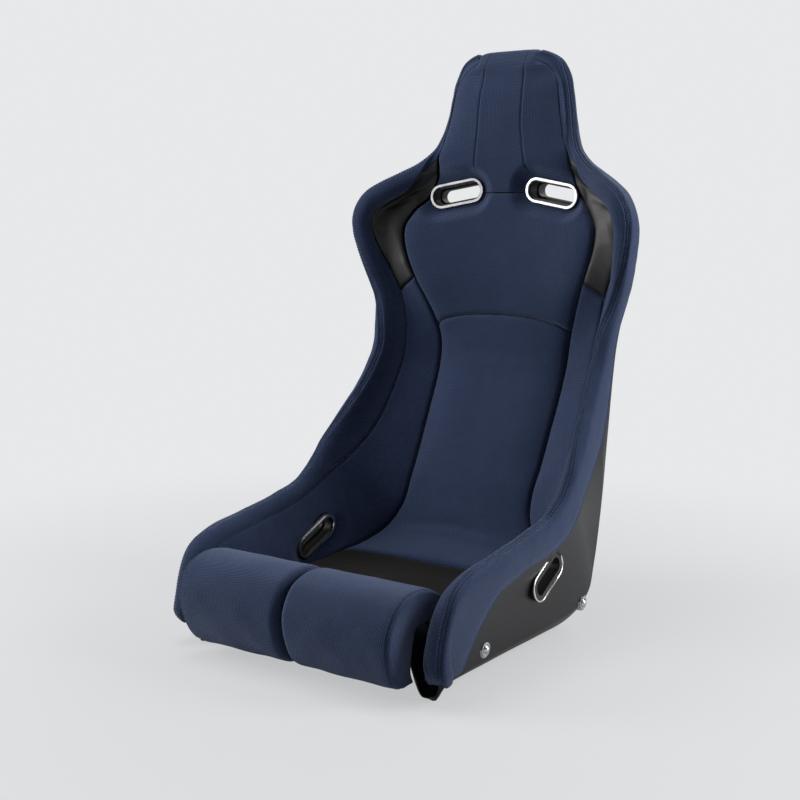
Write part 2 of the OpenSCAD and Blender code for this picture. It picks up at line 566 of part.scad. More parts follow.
module seat_pad() { color(smooth_black) seat_pad_form(); }
module lower_back_cushion() { color(cloth) lower_cushion_form(); }
module shoulder_cuts() { for (side = [-1, 1]) both_sides(side) shoulder_cut(bezel_rim + 1); }
module upper_back_cushion() { color(cloth) difference() { upper_cushion_form(); shoulder_cuts(); } }
module headrest_pad() { color(cloth) difference() { headrest_form(); shoulder_cuts(); } }
module thigh_pad_left() { color(cloth) thigh_pad(-1); }
module thigh_pad_right() { color(cloth) thigh_pad(1); }
module shoulder_bezel_left() { color(smooth_black) shoulder_bezel(-1); }
module shoulder_bezel_right() { color(smooth_black) shoulder_bezel(1); }
module shoulder_ring_left() { color("silver") shoulder_ring(-1); }
module shoulder_ring_right() { color("silver") shoulder_ring(1); }
module shoulder_rear_bezel_left() { color(smooth_black) shoulder_rear_bezel(-1); }
module shoulder_rear_bezel_right() { color(smooth_black) shoulder_rear_bezel(1); }
module lap_bezel_left() { color(smooth_black) lap_bezel(-1); }
module lap_bezel_right() { color(smooth_black) lap_bezel(1); }
module lap_ring_left() { color("dimgray") lap_ring(-1); }
module lap_ring_right() { color("dimgray") lap_ring(1); }
module lap_outer_bezel_left() { color(smooth_black) lap_outer_bezel(-1); }
module lap_outer_bezel_right() { color(smooth_black) lap_outer_bezel(1); }
module mount_inserts_left() { color("silver") side_inserts(-1); }
module mount_inserts_right() { color("silver") side_inserts(1); }
module mount_washers() { color("silver") side_washers(); }
module mount_bolts() { color("silver") side_bolts(); }
shell();
edge_trim_left();
edge_trim_right();
side_panel_left();
side_panel_right();
shoulder_insert_left();
shoulder_insert_right();
seat_pad();
lower_back_cushion();
upper_back_cushion();
headrest_pad();
thigh_pad_left();
thigh_pad_right();
shoulder_bezel_left();
shoulder_bezel_right();
shoulder_ring_left();
shoulder_ring_right();
shoulder_rear_bezel_left();
shoulder_rear_bezel_right();
lap_bezel_left();
lap_bezel_right();
lap_ring_left();
lap_ring_right();
lap_outer_bezel_left();
lap_outer_bezel_right();
mount_inserts_left();
mount_inserts_right();
mount_washers();
mount_bolts();
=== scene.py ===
import math

import bpy
import numpy as np
from mathutils import Matrix, Vector


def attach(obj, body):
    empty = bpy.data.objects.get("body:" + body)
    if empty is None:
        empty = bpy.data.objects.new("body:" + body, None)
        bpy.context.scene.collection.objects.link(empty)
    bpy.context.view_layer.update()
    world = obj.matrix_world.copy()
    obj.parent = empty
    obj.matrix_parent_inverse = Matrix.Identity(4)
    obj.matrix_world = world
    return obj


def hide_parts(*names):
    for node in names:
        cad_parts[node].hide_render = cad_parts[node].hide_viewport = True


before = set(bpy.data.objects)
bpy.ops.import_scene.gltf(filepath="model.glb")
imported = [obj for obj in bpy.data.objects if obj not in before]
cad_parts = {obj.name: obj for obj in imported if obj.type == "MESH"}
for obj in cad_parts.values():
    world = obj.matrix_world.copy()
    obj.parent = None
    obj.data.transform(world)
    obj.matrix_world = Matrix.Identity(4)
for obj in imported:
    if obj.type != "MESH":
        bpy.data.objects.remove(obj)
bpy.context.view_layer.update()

# ---------------------------------------------------------------------------
# Sizes in millimetres, as in the CAD source, and the seat's loft
# ---------------------------------------------------------------------------
MM = 0.001
SHELL_DEPTH, SHELL_HEIGHT = 558.0, 922.0
THIGH_Z, WAIST_Z, SHOULDER_Z = 160.0, 430.0, 635.0
WALL, RAMP, SIDE_LEAN = 4.0, 98.0, 0.085
THIGH_W, WAIST_W, WING_W, HEAD_W = 246.0, 226.0, 267.0, 116.0
WAIST_D, WING_D, HEAD_D = 82.0, 97.0, 24.0
ROLL_R, ROLL_PROUD = 17.0, 8.0
BAND_W, BAND_T = 50.0, 2.5
GAP, CLEAR = 2.0, 0.4                   # between neighbouring pads; between a pad and the shell
BACK_Y = 302.0
FRONT_Y = BACK_Y - SHELL_DEPTH
SINK, PAD_Z, FOOT_Z = 6.0, 76.0, 24.0


def mix(a, b, t):
    return a + (b - a) * t


def smooth(t):
    c = np.clip(t, 0.0, 1.0)
    return c * c * (3 - 2 * c)


def pan_y(t):
    return mix(FRONT_Y, mix(FRONT_Y, BACK_Y, 0.55), t)


def rise(t):
    return mix(THIGH_Z, WAIST_Z, t)


def wing(t):
    return mix(WAIST_Z, SHOULDER_Z, t)


def neck(t):
    return mix(SHOULDER_Z, SHELL_HEIGHT, t)


def half(t):
    return mix(THIGH_W, WAIST_W, t)


def wing_w(t):
    return mix(WAIST_W, WING_W, t)


def head_w(t):
    return mix(WING_W, HEAD_W, t)


B, K, H = BACK_Y, BACK_Y - WING_D, BACK_Y - HEAD_D
# centre y, z, edge y, z, half width, squareness, ramp, face, groove depth, groove half width, roll
ROWS = np.array([
    (pan_y(.02), -SINK, pan_y(.01), FOOT_Z + 2, THIGH_W - 10, 5.5, RAMP - 6, 60, 20, 206, 1.0),
    (pan_y(.03), -SINK, pan_y(-.01), 60, THIGH_W - 5, 5.5, RAMP - 2, 70, 44, 203, 1.10),
    (pan_y(.05), -SINK, pan_y(0), 100, THIGH_W - 2, 5.5, RAMP, 80, 62, 202, 1.10),
    (pan_y(.09), -SINK, pan_y(.06), THIGH_Z - 25, THIGH_W, 5.5, RAMP - 2, 90, 74, 201, 1.08),
    (pan_y(.21), -SINK, pan_y(.19), THIGH_Z - 7, THIGH_W, 5.5, RAMP - 16, 96, PAD_Z + SINK, 200, 1.05),
    (pan_y(.43), -SINK, pan_y(.40), THIGH_Z + 5, THIGH_W, 5.5, RAMP * .4, 98, PAD_Z + SINK, 199, 1),
    (pan_y(.69), -SINK, pan_y(.66), THIGH_Z + 20, THIGH_W, 5.5, 6, 99, PAD_Z + SINK, 198, .95),
    (pan_y(1), -SINK, pan_y(.85), rise(.13), THIGH_W + 1, 5.5, 0, 102, PAD_Z + 14, 194, .92),
    (B - 164, -4, B - 259, rise(.21), THIGH_W + 2, 5.5, 0, 122, 104, 180, .9),
    (B - 108, 16, B - 232, rise(.30), THIGH_W + 2, 5.4, 0, 136, 118, 152, .9),
    (B - 87, 60, B - 212, rise(.39), THIGH_W, 5, 0, 130, 120, 128, .9),
    (B - 73, 112, B - 190, rise(.48), half(.15), 4.7, 0, 122, 112, 123, .9),
    (B - 53, 172, B - 164, rise(.59), half(.4), 4.4, 0, 108, 97, 124, .9),
    (B - 29, 242, B - 139, rise(.70), half(.7), 4, 0, 92, 82, 125, .88),
    (B - 13, 308, B - 116, rise(.82), half(.93), 3.8, 0, 74, 64, 126, .87),
    (B - 5, 370, B - 93, rise(.97), WAIST_W - 1, 3.6, 0, 56, 46, 127, .86),
    (B - 2, WAIST_Z, B - WAIST_D, rise(1.13), WAIST_W + 2, 3.4, 0, 47, 37, 130, .86),
    (B - 1, wing(.29), B - WAIST_D + 10, wing(.38), wing_w(.24), 3.2, 0, 48, 50, 148, .9),
    (B, wing(.56), B - WAIST_D + 7, wing(.57), wing_w(.54), 3, 0, 50, 64, 167, .96),
    (B, wing(.80), B - mix(WAIST_D, WING_D, .4), wing(.80), wing_w(.83), 2.9, 0, 50, 70, 184, 1),
    (B, SHOULDER_Z, K, SHOULDER_Z, WING_W, 2.8, 0, 50, 68, 188, 1.04),
    (B, neck(.105), K - 2, neck(.105), WING_W - 5, 2.8, 0, 50, 58, 172, 1.04),
    (B, neck(.19), K + 2, neck(.19), WING_W - 20, 2.8, 0, 49, 46, 150, 1.04),
    (B, neck(.25), K + 13, neck(.25), head_w(.29), 2.8, 0, 49, 42, 140, 1.04),
    (B + 1, neck(.31), K + 31, neck(.31), head_w(.49), 2.8, 0, 51, 42, 134, 1.04),
    (B + 2, neck(.365), K + 48, neck(.365), head_w(.68), 2.9, 0, 54, 48, 130, 1.04),
    (B + 3, neck(.435), K + 60, neck(.435), head_w(.83), 3, 0, 58, 54, 128, 1.04),
    (B + 5, neck(.52), H - 2, neck(.52), HEAD_W + 12, 3, 0, 62, 53, 118, 1.04),
    (B + 6, neck(.64), H + 7, neck(.64), HEAD_W + 1, 3, 0, 64, 49, 110, 1.04),
    (B + 6, neck(.78), H + 11, neck(.78), HEAD_W - 6, 3, 0, 58, 45, 103, 1.04),
    (B + 5, neck(.89), H + 11, neck(.873), HEAD_W - 11, 3, 0, 54, 43, 98, 1.04),
    (B + 2, neck(.955), H + 12, neck(.935), HEAD_W - 22, 3, 0, 49, 39, 88, 1.04),
    (B - 3, neck(.985), H + 11, neck(.972), HEAD_W - 37, 3, 0, 42, 35, 74, 1.04),
    (B - 9, SHELL_HEIGHT + 1, H + 9, SHELL_HEIGHT - 1, HEAD_W - 57, 3, 0, 32, 28, 54, 1.04)])
LAST = len(ROWS) - 1.0
STEP = LAST / 44                    # rows between two stations of the CAD loft


def curve(a, b, c, d, t):
    """Catmull-Rom curve from b to c."""
    return 0.5 * (2 * b + (c - a) * t + (2 * a - 5 * b + 4 * c - d) * t * t
                  + (3 * b - a - 3 * c + d) * t ** 3)


def station(r):
    """The control rows blended by Catmull-Rom curves at each row place in r."""
    r = np.clip(np.asarray(r, float), 0, LAST)
    k = np.minimum(np.floor(r), LAST - 1).astype(int)
    t = (r - k)[..., None]
    a, b = ROWS[np.maximum(k - 1, 0)], ROWS[k]
    c, d = ROWS[np.minimum(k + 1, int(LAST))], ROWS[np.minimum(k + 2, int(LAST))]
    return np.moveaxis(curve(a, b, c, d, t), -1, 0)


def unit(v):
    return v / np.maximum(np.linalg.norm(v, axis=-1, keepdims=True), 1e-9)


def outer(r, deg):
    """Point of the shell's outer face at row r and lateral angle deg."""
    r, deg = np.broadcast_arrays(np.asarray(r, float), np.asarray(deg, float))
    cy, cz, ky, kz, w, n, ramp = station(r)[:7]
    a = np.radians(np.clip(deg, -90, 90))
    k = 2 / n
    square = smooth((n - 4) / 1.2)
    d = 1 - np.maximum(np.cos(a), 1e-9) ** k
    flat = np.minimum(1, (1 + 0.06 * square) * np.maximum(np.sin(np.abs(a)), 1e-9) ** k)
    u = np.sign(a) * w * flat * (1 - SIDE_LEAN * square * (1 - d))
    lift = np.maximum(0, ramp) * (1 - smooth((np.abs(u) - 150) / 48))
    return np.stack([u, mix(cy, ky, d), np.maximum(0, mix(cz, kz, d)) + lift], -1)


def inward(r, deg):
    r, deg = np.asarray(r, float), np.asarray(deg, float)
    return unit(np.cross(outer(r, deg + 2) - outer(r, deg - 2), outer(r + STEP, deg) - outer(r - STEP, deg)))


def skin(r, deg, depth):
    depth = np.asarray(depth, float)
    return outer(r, deg) + depth[..., None] * inward(r, deg)


def angle_at(r, u):
    s = station(r)
    return np.degrees(np.arcsin(np.minimum(1, np.abs(u) / s[4]) ** (s[5] / 2))) * np.sign(u)


def inside(r, u, depth):
    cy, cz, ky, kz = station(r)[:4]
    t = depth / np.hypot(ky - cy, kz - cz)
    return np.stack([u + 0 * t, mix(cy, ky, t), mix(cz, kz, t)], -1)


def edge_frame(r):
    """Outward and forward directions of the roll along the shell's right edge."""
    along = unit(outer(r + STEP, 90) - outer(r - STEP, 90))
    n = -inward(r, mix(90, 55, smooth((r - LAST + 3) / 2.6)))
    out = unit(n - np.sum(n * along, -1, keepdims=True) * along)
    return out, np.cross(out, along)


def roll_point(r, turn):
    r, turn = np.broadcast_arrays(np.asarray(r, float), np.asarray(turn, float))
    out, ahead = edge_frame(r)
    size = ROLL_R * station(r)[10]
    t = np.radians(turn)
    return (outer(r, 90) - (size - ROLL_PROUD)[..., None] * out
            + size[..., None] * (np.sin(t)[..., None] * out + np.cos(t)[..., None] * ahead))


def necked(r):
    return smooth((r - 23.4) / 2.4)


def last_turn(r):
    return mix(-90, 22, necked(r))


def groove(r):
    s = station(r)
    return inside(r, s[9], s[8])


def face(r, e):
    """Inner face of the bolster, from the roll (e = 0) to the groove (e = 1)."""
    r, e = np.broadcast_arrays(np.asarray(r, float), np.asarray(e, float))
    q, g = roll_point(r, last_turn(r)), groove(r)
    reach = np.linalg.norm(q - g, axis=-1)[..., None]
    m, h = q - edge_frame(r)[1] * reach * 0.38, mix(g, q, 0.34)
    e = e[..., None]
    return (1 - e) ** 3 * q + 3 * (1 - e) ** 2 * e * m + 3 * (1 - e) * e * e * h + e ** 3 * g


def seam(r):
    return (0.06 + 0.32 * smooth((r - 7) / 6) * (1 - smooth((r - 17) / 3.2))
            + 0.94 * smooth(r - 24.8))


def dip(r, middle, reach):
    return smooth(1 - np.abs(r - middle) / reach)


def band_angle(r):
    s = station(r)
    width = BAND_W * (1 + 1.55 * smooth((5.2 - r) / 1.9) - 0.36 * dip(r, 5.9, 2.4) - 0.6 * dip(r, 16.3, 3.4))
    width = -4 * np.logaddexp(-(s[3] - FOOT_Z) / 4, -width / 4)
    depth = np.hypot(s[2] - s[0], s[3] - s[1])
    return np.degrees(np.arccos(np.minimum(0.75, width / depth) ** (s[5] / 2)))


# ---------------------------------------------------------------------------
# Meshes from grids
# ---------------------------------------------------------------------------
def normals(p):
    """Unit normals of a grid of points, out of its front face."""
    return unit(np.cross(np.gradient(p, axis=0), np.gradient(p, axis=1)))


def arc(p, axis):
    """Length along one direction of a grid, in millimetres."""
    d = np.linalg.norm(np.diff(p, axis=axis), axis=-1)
    pad = [(0, 0), (0, 0)]
    pad[axis] = (1, 0)
    return np.cumsum(np.pad(d, pad), axis=axis)


def mesh_object(name, points, faces, uv=None, mat=None):
    me = bpy.data.meshes.new(name)
    me.from_pydata((np.asarray(points) * MM).tolist(), [], faces)
    if uv is not None:
        layer = me.uv_layers.new(name="Cloth")
        loops = np.empty(len(me.loops), int)
        me.loops.foreach_get("vertex_index", loops)
        layer.data.foreach_set("uv", (np.asarray(uv)[loops] * MM).ravel())
    me.polygons.foreach_set("use_smooth", [True] * len(me.polygons))
    if mat is not None:
        me.materials.append(mat)
    ob = bpy.data.objects.new(name, me)
    bpy.context.scene.collection.objects.link(ob)
    return ob


def slab(name, front, back, mat, side=1):
    """Closed solid between two grids; the left-hand one is its mirror image."""
    m, n = front.shape[:2]
    uv = np.stack([arc(front, 1), arc(front, 0)[:, n // 2][:, None] + 0 * front[..., 0]], -1).reshape(-1, 2)
    pts = np.concatenate([front.reshape(-1, 3), back.reshape(-1, 3)])
    uv = np.concatenate([uv, uv])
    idx = np.arange(m * n).reshape(m, n)
    quads = np.stack([idx[:-1, :-1], idx[1:, :-1], idx[1:, 1:], idx[:-1, 1:]], -1).reshape(-1, 4)
    under = quads[:, ::-1] + m * n
    rim = np.concatenate([idx[0, :-1], idx[:-1, -1], idx[-1, :0:-1], idx[:0:-1, 0]])
    nxt = np.roll(rim, -1)
    faces = np.concatenate([quads, under, np.stack([rim, nxt, nxt + m * n, rim + m * n], -1)])
    if side < 0:
        pts = pts * (-1, 1, 1)
        faces = faces[:, ::-1]
    return mesh_object(name, pts, faces.tolist(), uv, mat)


def lowered(p, width, depth, ends=(1, 1, 1, 1)):
    """How far each point drops towards the grid's borders, along a quarter circle.

    ends: first row, last row, first column, last column; 0 leaves a border as it is."""
    drop = np.zeros(p.shape[:2])
    for axis in (0, 1):
        s = arc(p, axis)
        total = s.take([-1], axis=axis)
        for k, d in ((0, s), (1, total - s)):
            t = np.clip(1 - d / width, 0, 1)
            drop = np.maximum(drop, ends[2 * axis + k] * (1 - np.sqrt(1 - t * t)))
    return depth * drop


def ripple(p, size, seed, count=24):
    """Soft seeded noise at each point, about -1 to 1, with waves of about that size."""
    rng = np.random.default_rng(seed)
    k = rng.normal(size=(count, 3))
    k *= (2 * np.pi / size * rng.uniform(0.6, 1.7, count) / np.linalg.norm(k, axis=1))[:, None]
    phase = rng.uniform(0, 2 * np.pi, count)
    return np.sin(p @ k.T + phase).sum(-1) / np.sqrt(count / 2) / 2


def relax(p, rounds, axis=1):
    """Smooths a grid along one direction, its first and last points held."""
    p = p.copy()
    for _ in range(rounds):
        q = np.moveaxis(p, axis, 0)
        q[1:-1] = 0.5 * q[1:-1] + 0.25 * (q[:-2] + q[2:])
    return p


def along_line(line, extra, step):
    """Points at even steps on a polyline, with other values carried along beside them."""
    s = np.concatenate([[0], np.cumsum(np.linalg.norm(np.diff(line, axis=0), axis=1))])
    at = np.arange(0.5 * step, s[-1], step)
    both = np.concatenate([line, extra], 1)
    return np.stack([np.interp(at, s, both[:, k]) for k in range(both.shape[1])], -1)


def stitch_row(line, normal, pitch=5.0, share=0.66, radius=0.55, lift=0.1):
    """Thread stitches along a line: points and faces of small capsules."""
    both = along_line(line, normal, pitch)
    c, n = both[:, :3], unit(both[:, 3:])
    t = unit(np.gradient(c, axis=0))
    n = unit(n - np.sum(n * t, -1, keepdims=True) * t)
    b = np.cross(t, n)
    rings = [(-0.5, 0.35, -0.5), (-0.36, 0.85, 0.0), (0.0, 1.0, 0.25), (0.36, 0.85, 0.0), (0.5, 0.35, -0.5)]
    pts = []
    for place, size, up in rings:
        centre = c + t * place * pitch * share + n * (lift + up * radius)
        for k in range(6):
            a = k * np.pi / 3
            pts.append(centre + radius * size * (np.cos(a) * b + np.sin(a) * n))
    pts = np.stack(pts, 1)
    faces = []
    for k in range(4):
        for j in range(6):
            faces.append((6 * k + j, 6 * k + (j + 1) % 6, 6 * k + 6 + (j + 1) % 6, 6 * k + 6 + j))
    faces.append(tuple(range(5, -1, -1)))
    faces.append(tuple(range(24, 30)))
    all_faces = [tuple(v + 30 * i for v in f) for i in range(len(c)) for f in faces]
    return pts.reshape(-1, 3), all_faces


def tube(name, lines, radius, mat, sides=(1,), count=8):
    """Smooth round cords along lines, each with closed ends."""
    pts, faces, base = [], [], 0
    for line, up in lines:
        t = unit(np.gradient(line, axis=0))
        n = unit(up - np.sum(up * t, -1, keepdims=True) * t)
        b = np.cross(t, n)
        a = np.arange(count) * 2 * np.pi / count
        round_ = np.cos(a)[None, :, None] * n[:, None] + np.sin(a)[None, :, None] * b[:, None]
        ring = line[:, None] + radius * round_
        m = len(line)
        idx = np.arange(m * count).reshape(m, count)
        after = np.roll(idx, -1, 1)
        cord = np.stack([idx[:-1], after[:-1], after[1:], idx[1:]], -1).reshape(-1, 4).tolist()
        cord += [tuple(range(count - 1, -1, -1)), tuple(range(count * (m - 1), count * m))]
        for side in sides:
            pts.append(ring.reshape(-1, 3) * (side, 1, 1))
            faces += [tuple(v + base for v in (g if side > 0 else g[::-1])) for g in cord]
            base += count * m
    return mesh_object(name, np.concatenate(pts), faces, mat=mat)


def thread(name, rows, mat, sides=(1,)):
    """One object of stitch rows; each row is (line, normals)."""
    pts, faces, base = [], [], 0
    for line, normal in rows:
        p, f = stitch_row(line, normal)
        for side in sides:
            pts.append(p * (side, 1, 1))
            faces += [tuple(v + base for v in (g if side > 0 else g[::-1])) for g in f]
            base += len(p)
    return mesh_object(name, np.concatenate(pts), faces, mat=mat)


# ---------------------------------------------------------------------------
# Materials
# ---------------------------------------------------------------------------
def new_material(name, base, roughness, **sockets):
    mat = bpy.data.materials.new(name)
    mat.use_nodes = True
    tree = mat.node_tree
    bsdf = tree.nodes["Principled BSDF"]
    bsdf.inputs["Base Color"].default_value = (*base, 1)
    bsdf.inputs["Roughness"].default_value = roughness
    for key, value in sockets.items():
        bsdf.inputs[key.replace("_", " ")].default_value = value
    return mat, tree, bsdf


def add(tree, kind, inputs=None, **props):
    node = tree.nodes.new(kind)
    for key, value in props.items():
        setattr(node, key, value)
    for key, value in (inputs or {}).items():
        if isinstance(value, bpy.types.NodeSocket):
            tree.links.new(value, node.inputs[key])
        else:
            node.inputs[key].default_value = value
    return node


def noise(tree, vector, scale, detail=3.0, rough=0.5):
    return add(tree, "ShaderNodeTexNoise", {"Vector": vector, "Scale": scale, "Detail": detail,
                                            "Roughness": rough}).outputs["Fac"]


def maths(tree, kind, a, b=None):
    node = add(tree, "ShaderNodeMath", {0: a}, operation=kind)
    if b is not None:
        if isinstance(b, bpy.types.NodeSocket):
            tree.links.new(b, node.inputs[1])
        else:
            node.inputs[1].default_value = b
    return node.outputs[0]


def ramp(tree, fac, stops):
    node = add(tree, "ShaderNodeValToRGB", {"Fac": fac})
    while len(node.color_ramp.elements) < len(stops):
        node.color_ramp.elements.new(0.5)
    for e, (place, colour) in zip(node.color_ramp.elements, stops):
        e.position = place
        e.color = (*colour, 1)
    return node.outputs["Color"]


def ranged(tree, value, low, high, to_low=0.0, to_high=1.0, **props):
    """A value carried from one range onto another, and held within it."""
    return add(tree, "ShaderNodeMapRange", {"Value": value, "From Min": low, "From Max": high,
                                            "To Min": to_low, "To Max": to_high}, **props).outputs[0]


def bump(tree, bsdf, height, strength, distance):
    node = add(tree, "ShaderNodeBump", {"Height": height, "Strength": strength, "Distance": distance})
    tree.links.new(node.outputs["Normal"], bsdf.inputs["Normal"])


def scaled(tree, colour, factor):
    """A colour times a grey factor."""
    node = add(tree, "ShaderNodeMix", {"Factor": 1.0}, data_type="RGBA", blend_type="MULTIPLY")
    tree.links.new(colour, node.inputs["A"])
    tree.links.new(factor, node.inputs["B"])
    return node.outputs["Result"]


def object_coords(tree):
    return add(tree, "ShaderNodeTexCoord").outputs["Object"]


def cloth_material(name, dark, light, pitch=0.0038):
    """Woven cloth: a diagonal grid of raised threads, on the piece's own map in metres."""
    mat, tree, bsdf = new_material(name, light, 0.92, Sheen_Weight=0.35, Sheen_Roughness=0.45,
                                   Sheen_Tint=(0.55, 0.65, 0.9, 1), Specular_IOR_Level=0.25)
    uv = add(tree, "ShaderNodeUVMap", uv_map="Cloth").outputs["UV"]
    coords = object_coords(tree)
    wobble = add(tree, "ShaderNodeTexNoise", {"Vector": uv, "Scale": 90.0, "Detail": 1.0})
    shift = add(tree, "ShaderNodeVectorMath", {0: wobble.outputs["Color"], 1: (0.0004,) * 3},
                operation="MULTIPLY").outputs[0]
    moved = add(tree, "ShaderNodeVectorMath", {0: uv, 1: shift}, operation="ADD").outputs[0]
    turned = add(tree, "ShaderNodeMapping", {"Vector": moved, "Rotation": (0, 0, math.radians(38)),
                                             "Scale": (2 * math.pi / pitch,) * 3}).outputs[0]
    axes = add(tree, "ShaderNodeSeparateXYZ", {0: turned}).outputs
    weave = maths(tree, "MULTIPLY", maths(tree, "SINE", axes[0]), maths(tree, "SINE", axes[1]))
    threads = ranged(tree, weave, -0.75, 0.8)
    broad = noise(tree, coords, 14.0, 4.0, 0.6)
    fine = noise(tree, coords, 900.0, 2.0)
    middle = tuple(mix(a, b, 0.75) for a, b in zip(dark, light))
    tone = ramp(tree, threads, [(0.0, dark), (0.45, middle), (1.0, light)])
    fade = ramp(tree, broad, [(0.25, (0.86,) * 3), (0.75, (1.0, 1.0, 1.0))])
    fibre = ramp(tree, fine, [(0.3, (0.82,) * 3), (0.7, (1.0, 1.0, 1.0))])
    tree.links.new(scaled(tree, scaled(tree, tone, fade), fibre), bsdf.inputs["Base Color"])
    height = maths(tree, "ADD", threads, maths(tree, "MULTIPLY", fine, 0.35))
    bump(tree, bsdf, height, 0.8, 0.0009)
    return mat


def grain_material(name, dark, light, roughness, cell=0.0014, strength=0.25):
    """Leatherette: small rounded cells with creases between them."""
    mat, tree, bsdf = new_material(name, light, roughness, Specular_IOR_Level=0.5)
    coords = object_coords(tree)
    cells = add(tree, "ShaderNodeTexVoronoi", {"Vector": coords, "Scale": 1 / cell},
                feature="DISTANCE_TO_EDGE")
    pores = ranged(tree, cells.outputs["Distance"], 0.0, 0.22)
    broad = noise(tree, coords, 25.0, 4.0)
    tone = ramp(tree, broad, [(0.3, dark), (0.7, light)])
    tree.links.new(tone, bsdf.inputs["Base Color"])
    rough = ranged(tree, broad, 0.3, 0.7, roughness - 0.06, roughness + 0.08)
    tree.links.new(rough, bsdf.inputs["Roughness"])
    bump(tree, bsdf, maths(tree, "ADD", pores, maths(tree, "MULTIPLY", broad, 1.5)), strength, 0.0003)
    return mat


def suede_material(name, dark, light):
    mat, tree, bsdf = new_material(name, light, 0.97, Sheen_Weight=0.08, Sheen_Roughness=0.5,
                                   Sheen_Tint=(0.6, 0.55, 0.5, 1), Specular_IOR_Level=0.1)
    coords = object_coords(tree)
    nap = noise(tree, coords, 18.0, 6.0, 0.65)
    fibre = noise(tree, coords, 1200.0, 2.0)
    tone = ramp(tree, nap, [(0.3, dark), (0.7, light)])
    tree.links.new(scaled(tree, tone, ramp(tree, fibre, [(0.3, (0.7,) * 3), (0.7, (1.0,) * 3)])),
                   bsdf.inputs["Base Color"])
    bump(tree, bsdf, fibre, 0.4, 0.0004)
    return mat


def plastic_material(name, base, roughness, texture, scale):
    """Moulded plastic: a faint skin texture, rubbed a little smoother in places."""
    mat, tree, bsdf = new_material(name, base, roughness)
    coords = object_coords(tree)
    skin_noise = noise(tree, coords, scale, 2.0)
    wear = noise(tree, coords, 9.0, 5.0)
    rough = ranged(tree, wear, 0.3, 0.7, roughness - 0.05, roughness + 0.06)
    tree.links.new(rough, bsdf.inputs["Roughness"])
    tone = ramp(tree, wear, [(0.3, base), (0.75, tuple(1.25 * c for c in base))])
    tree.links.new(tone, bsdf.inputs["Base Color"])
    bump(tree, bsdf, skin_noise, texture, 0.0003)
    return mat


def metal_material(name, base, roughness, scratch=0.05):
    mat, tree, bsdf = new_material(name, base, roughness, Metallic=1.0)
    coords = object_coords(tree)
    stretched = add(tree, "ShaderNodeMapping", {"Vector": coords, "Scale": (60, 900, 900)}).outputs[0]
    lines = noise(tree, stretched, 1.0, 3.0)
    smear = noise(tree, coords, 60.0, 3.0)
    both = maths(tree, "ADD", maths(tree, "MULTIPLY", lines, 0.5), maths(tree, "MULTIPLY", smear, 0.5))
    rough = ranged(tree, both, 0.3, 0.7, roughness * 0.7, roughness * 1.4)
    tree.links.new(rough, bsdf.inputs["Roughness"])
    bump(tree, bsdf, lines, scratch, 0.0001)
    return mat


NAVY_DARK, NAVY = (0.010, 0.017, 0.045), (0.030, 0.052, 0.125)
cloth = cloth_material("navy_cloth", NAVY_DARK, NAVY)
thread_navy = cloth_material("navy_thread", (0.014, 0.022, 0.055), (0.040, 0.062, 0.14), 0.0009)
# near-black thread for cords laid in the seam grooves: a sewn seam's thread, coloured darker than the cloth
# as painted shade of the grooves
seam_shade_thread = cloth_material("seam_thread_painted_shade", (0.004, 0.006, 0.014), (0.010, 0.015, 0.034), 0.0009)
leatherette = grain_material("black_leatherette", (0.008, 0.008, 0.009), (0.014, 0.014, 0.015), 0.42)
suede = suede_material("black_suede", (0.003, 0.003, 0.003), (0.007, 0.006, 0.006))
shell_plastic = plastic_material("satin_black_shell", (0.006, 0.006, 0.007), 0.36, 0.10, 500.0)
bezel_plastic = plastic_material("black_bezel_plastic", (0.009, 0.009, 0.009), 0.52, 0.3, 900.0)
ring_metal = metal_material("silver_ring", (0.62, 0.62, 0.63), 0.38)
dark_metal = metal_material("dark_chrome_ring", (0.78, 0.78, 0.79), 0.30)
bolt_metal = metal_material("chrome_bolt", (0.72, 0.72, 0.73), 0.14)
steel = metal_material("turned_steel", (0.50, 0.50, 0.51), 0.32, 0.12)

# ---------------------------------------------------------------------------
# Pieces
# ---------------------------------------------------------------------------
SIDES = ((-1, "left"), (1, "right"))


def sampled(p, rows, cols):
    """Values of a grid at fractional rows and columns."""
    for axis, at in ((0, rows), (1, cols)):
        q = np.moveaxis(p, axis, 0)
        k = np.clip(np.floor(at).astype(int), 0, len(q) - 2)
        p = np.moveaxis(mix(q[k], q[k + 1], (at - k)[:, None, None]), 0, axis)
    return p


CLOTH_CELL, CLOTH_PRESSURE, CLOTH_FRAMES = 6.0, 4.0, 20


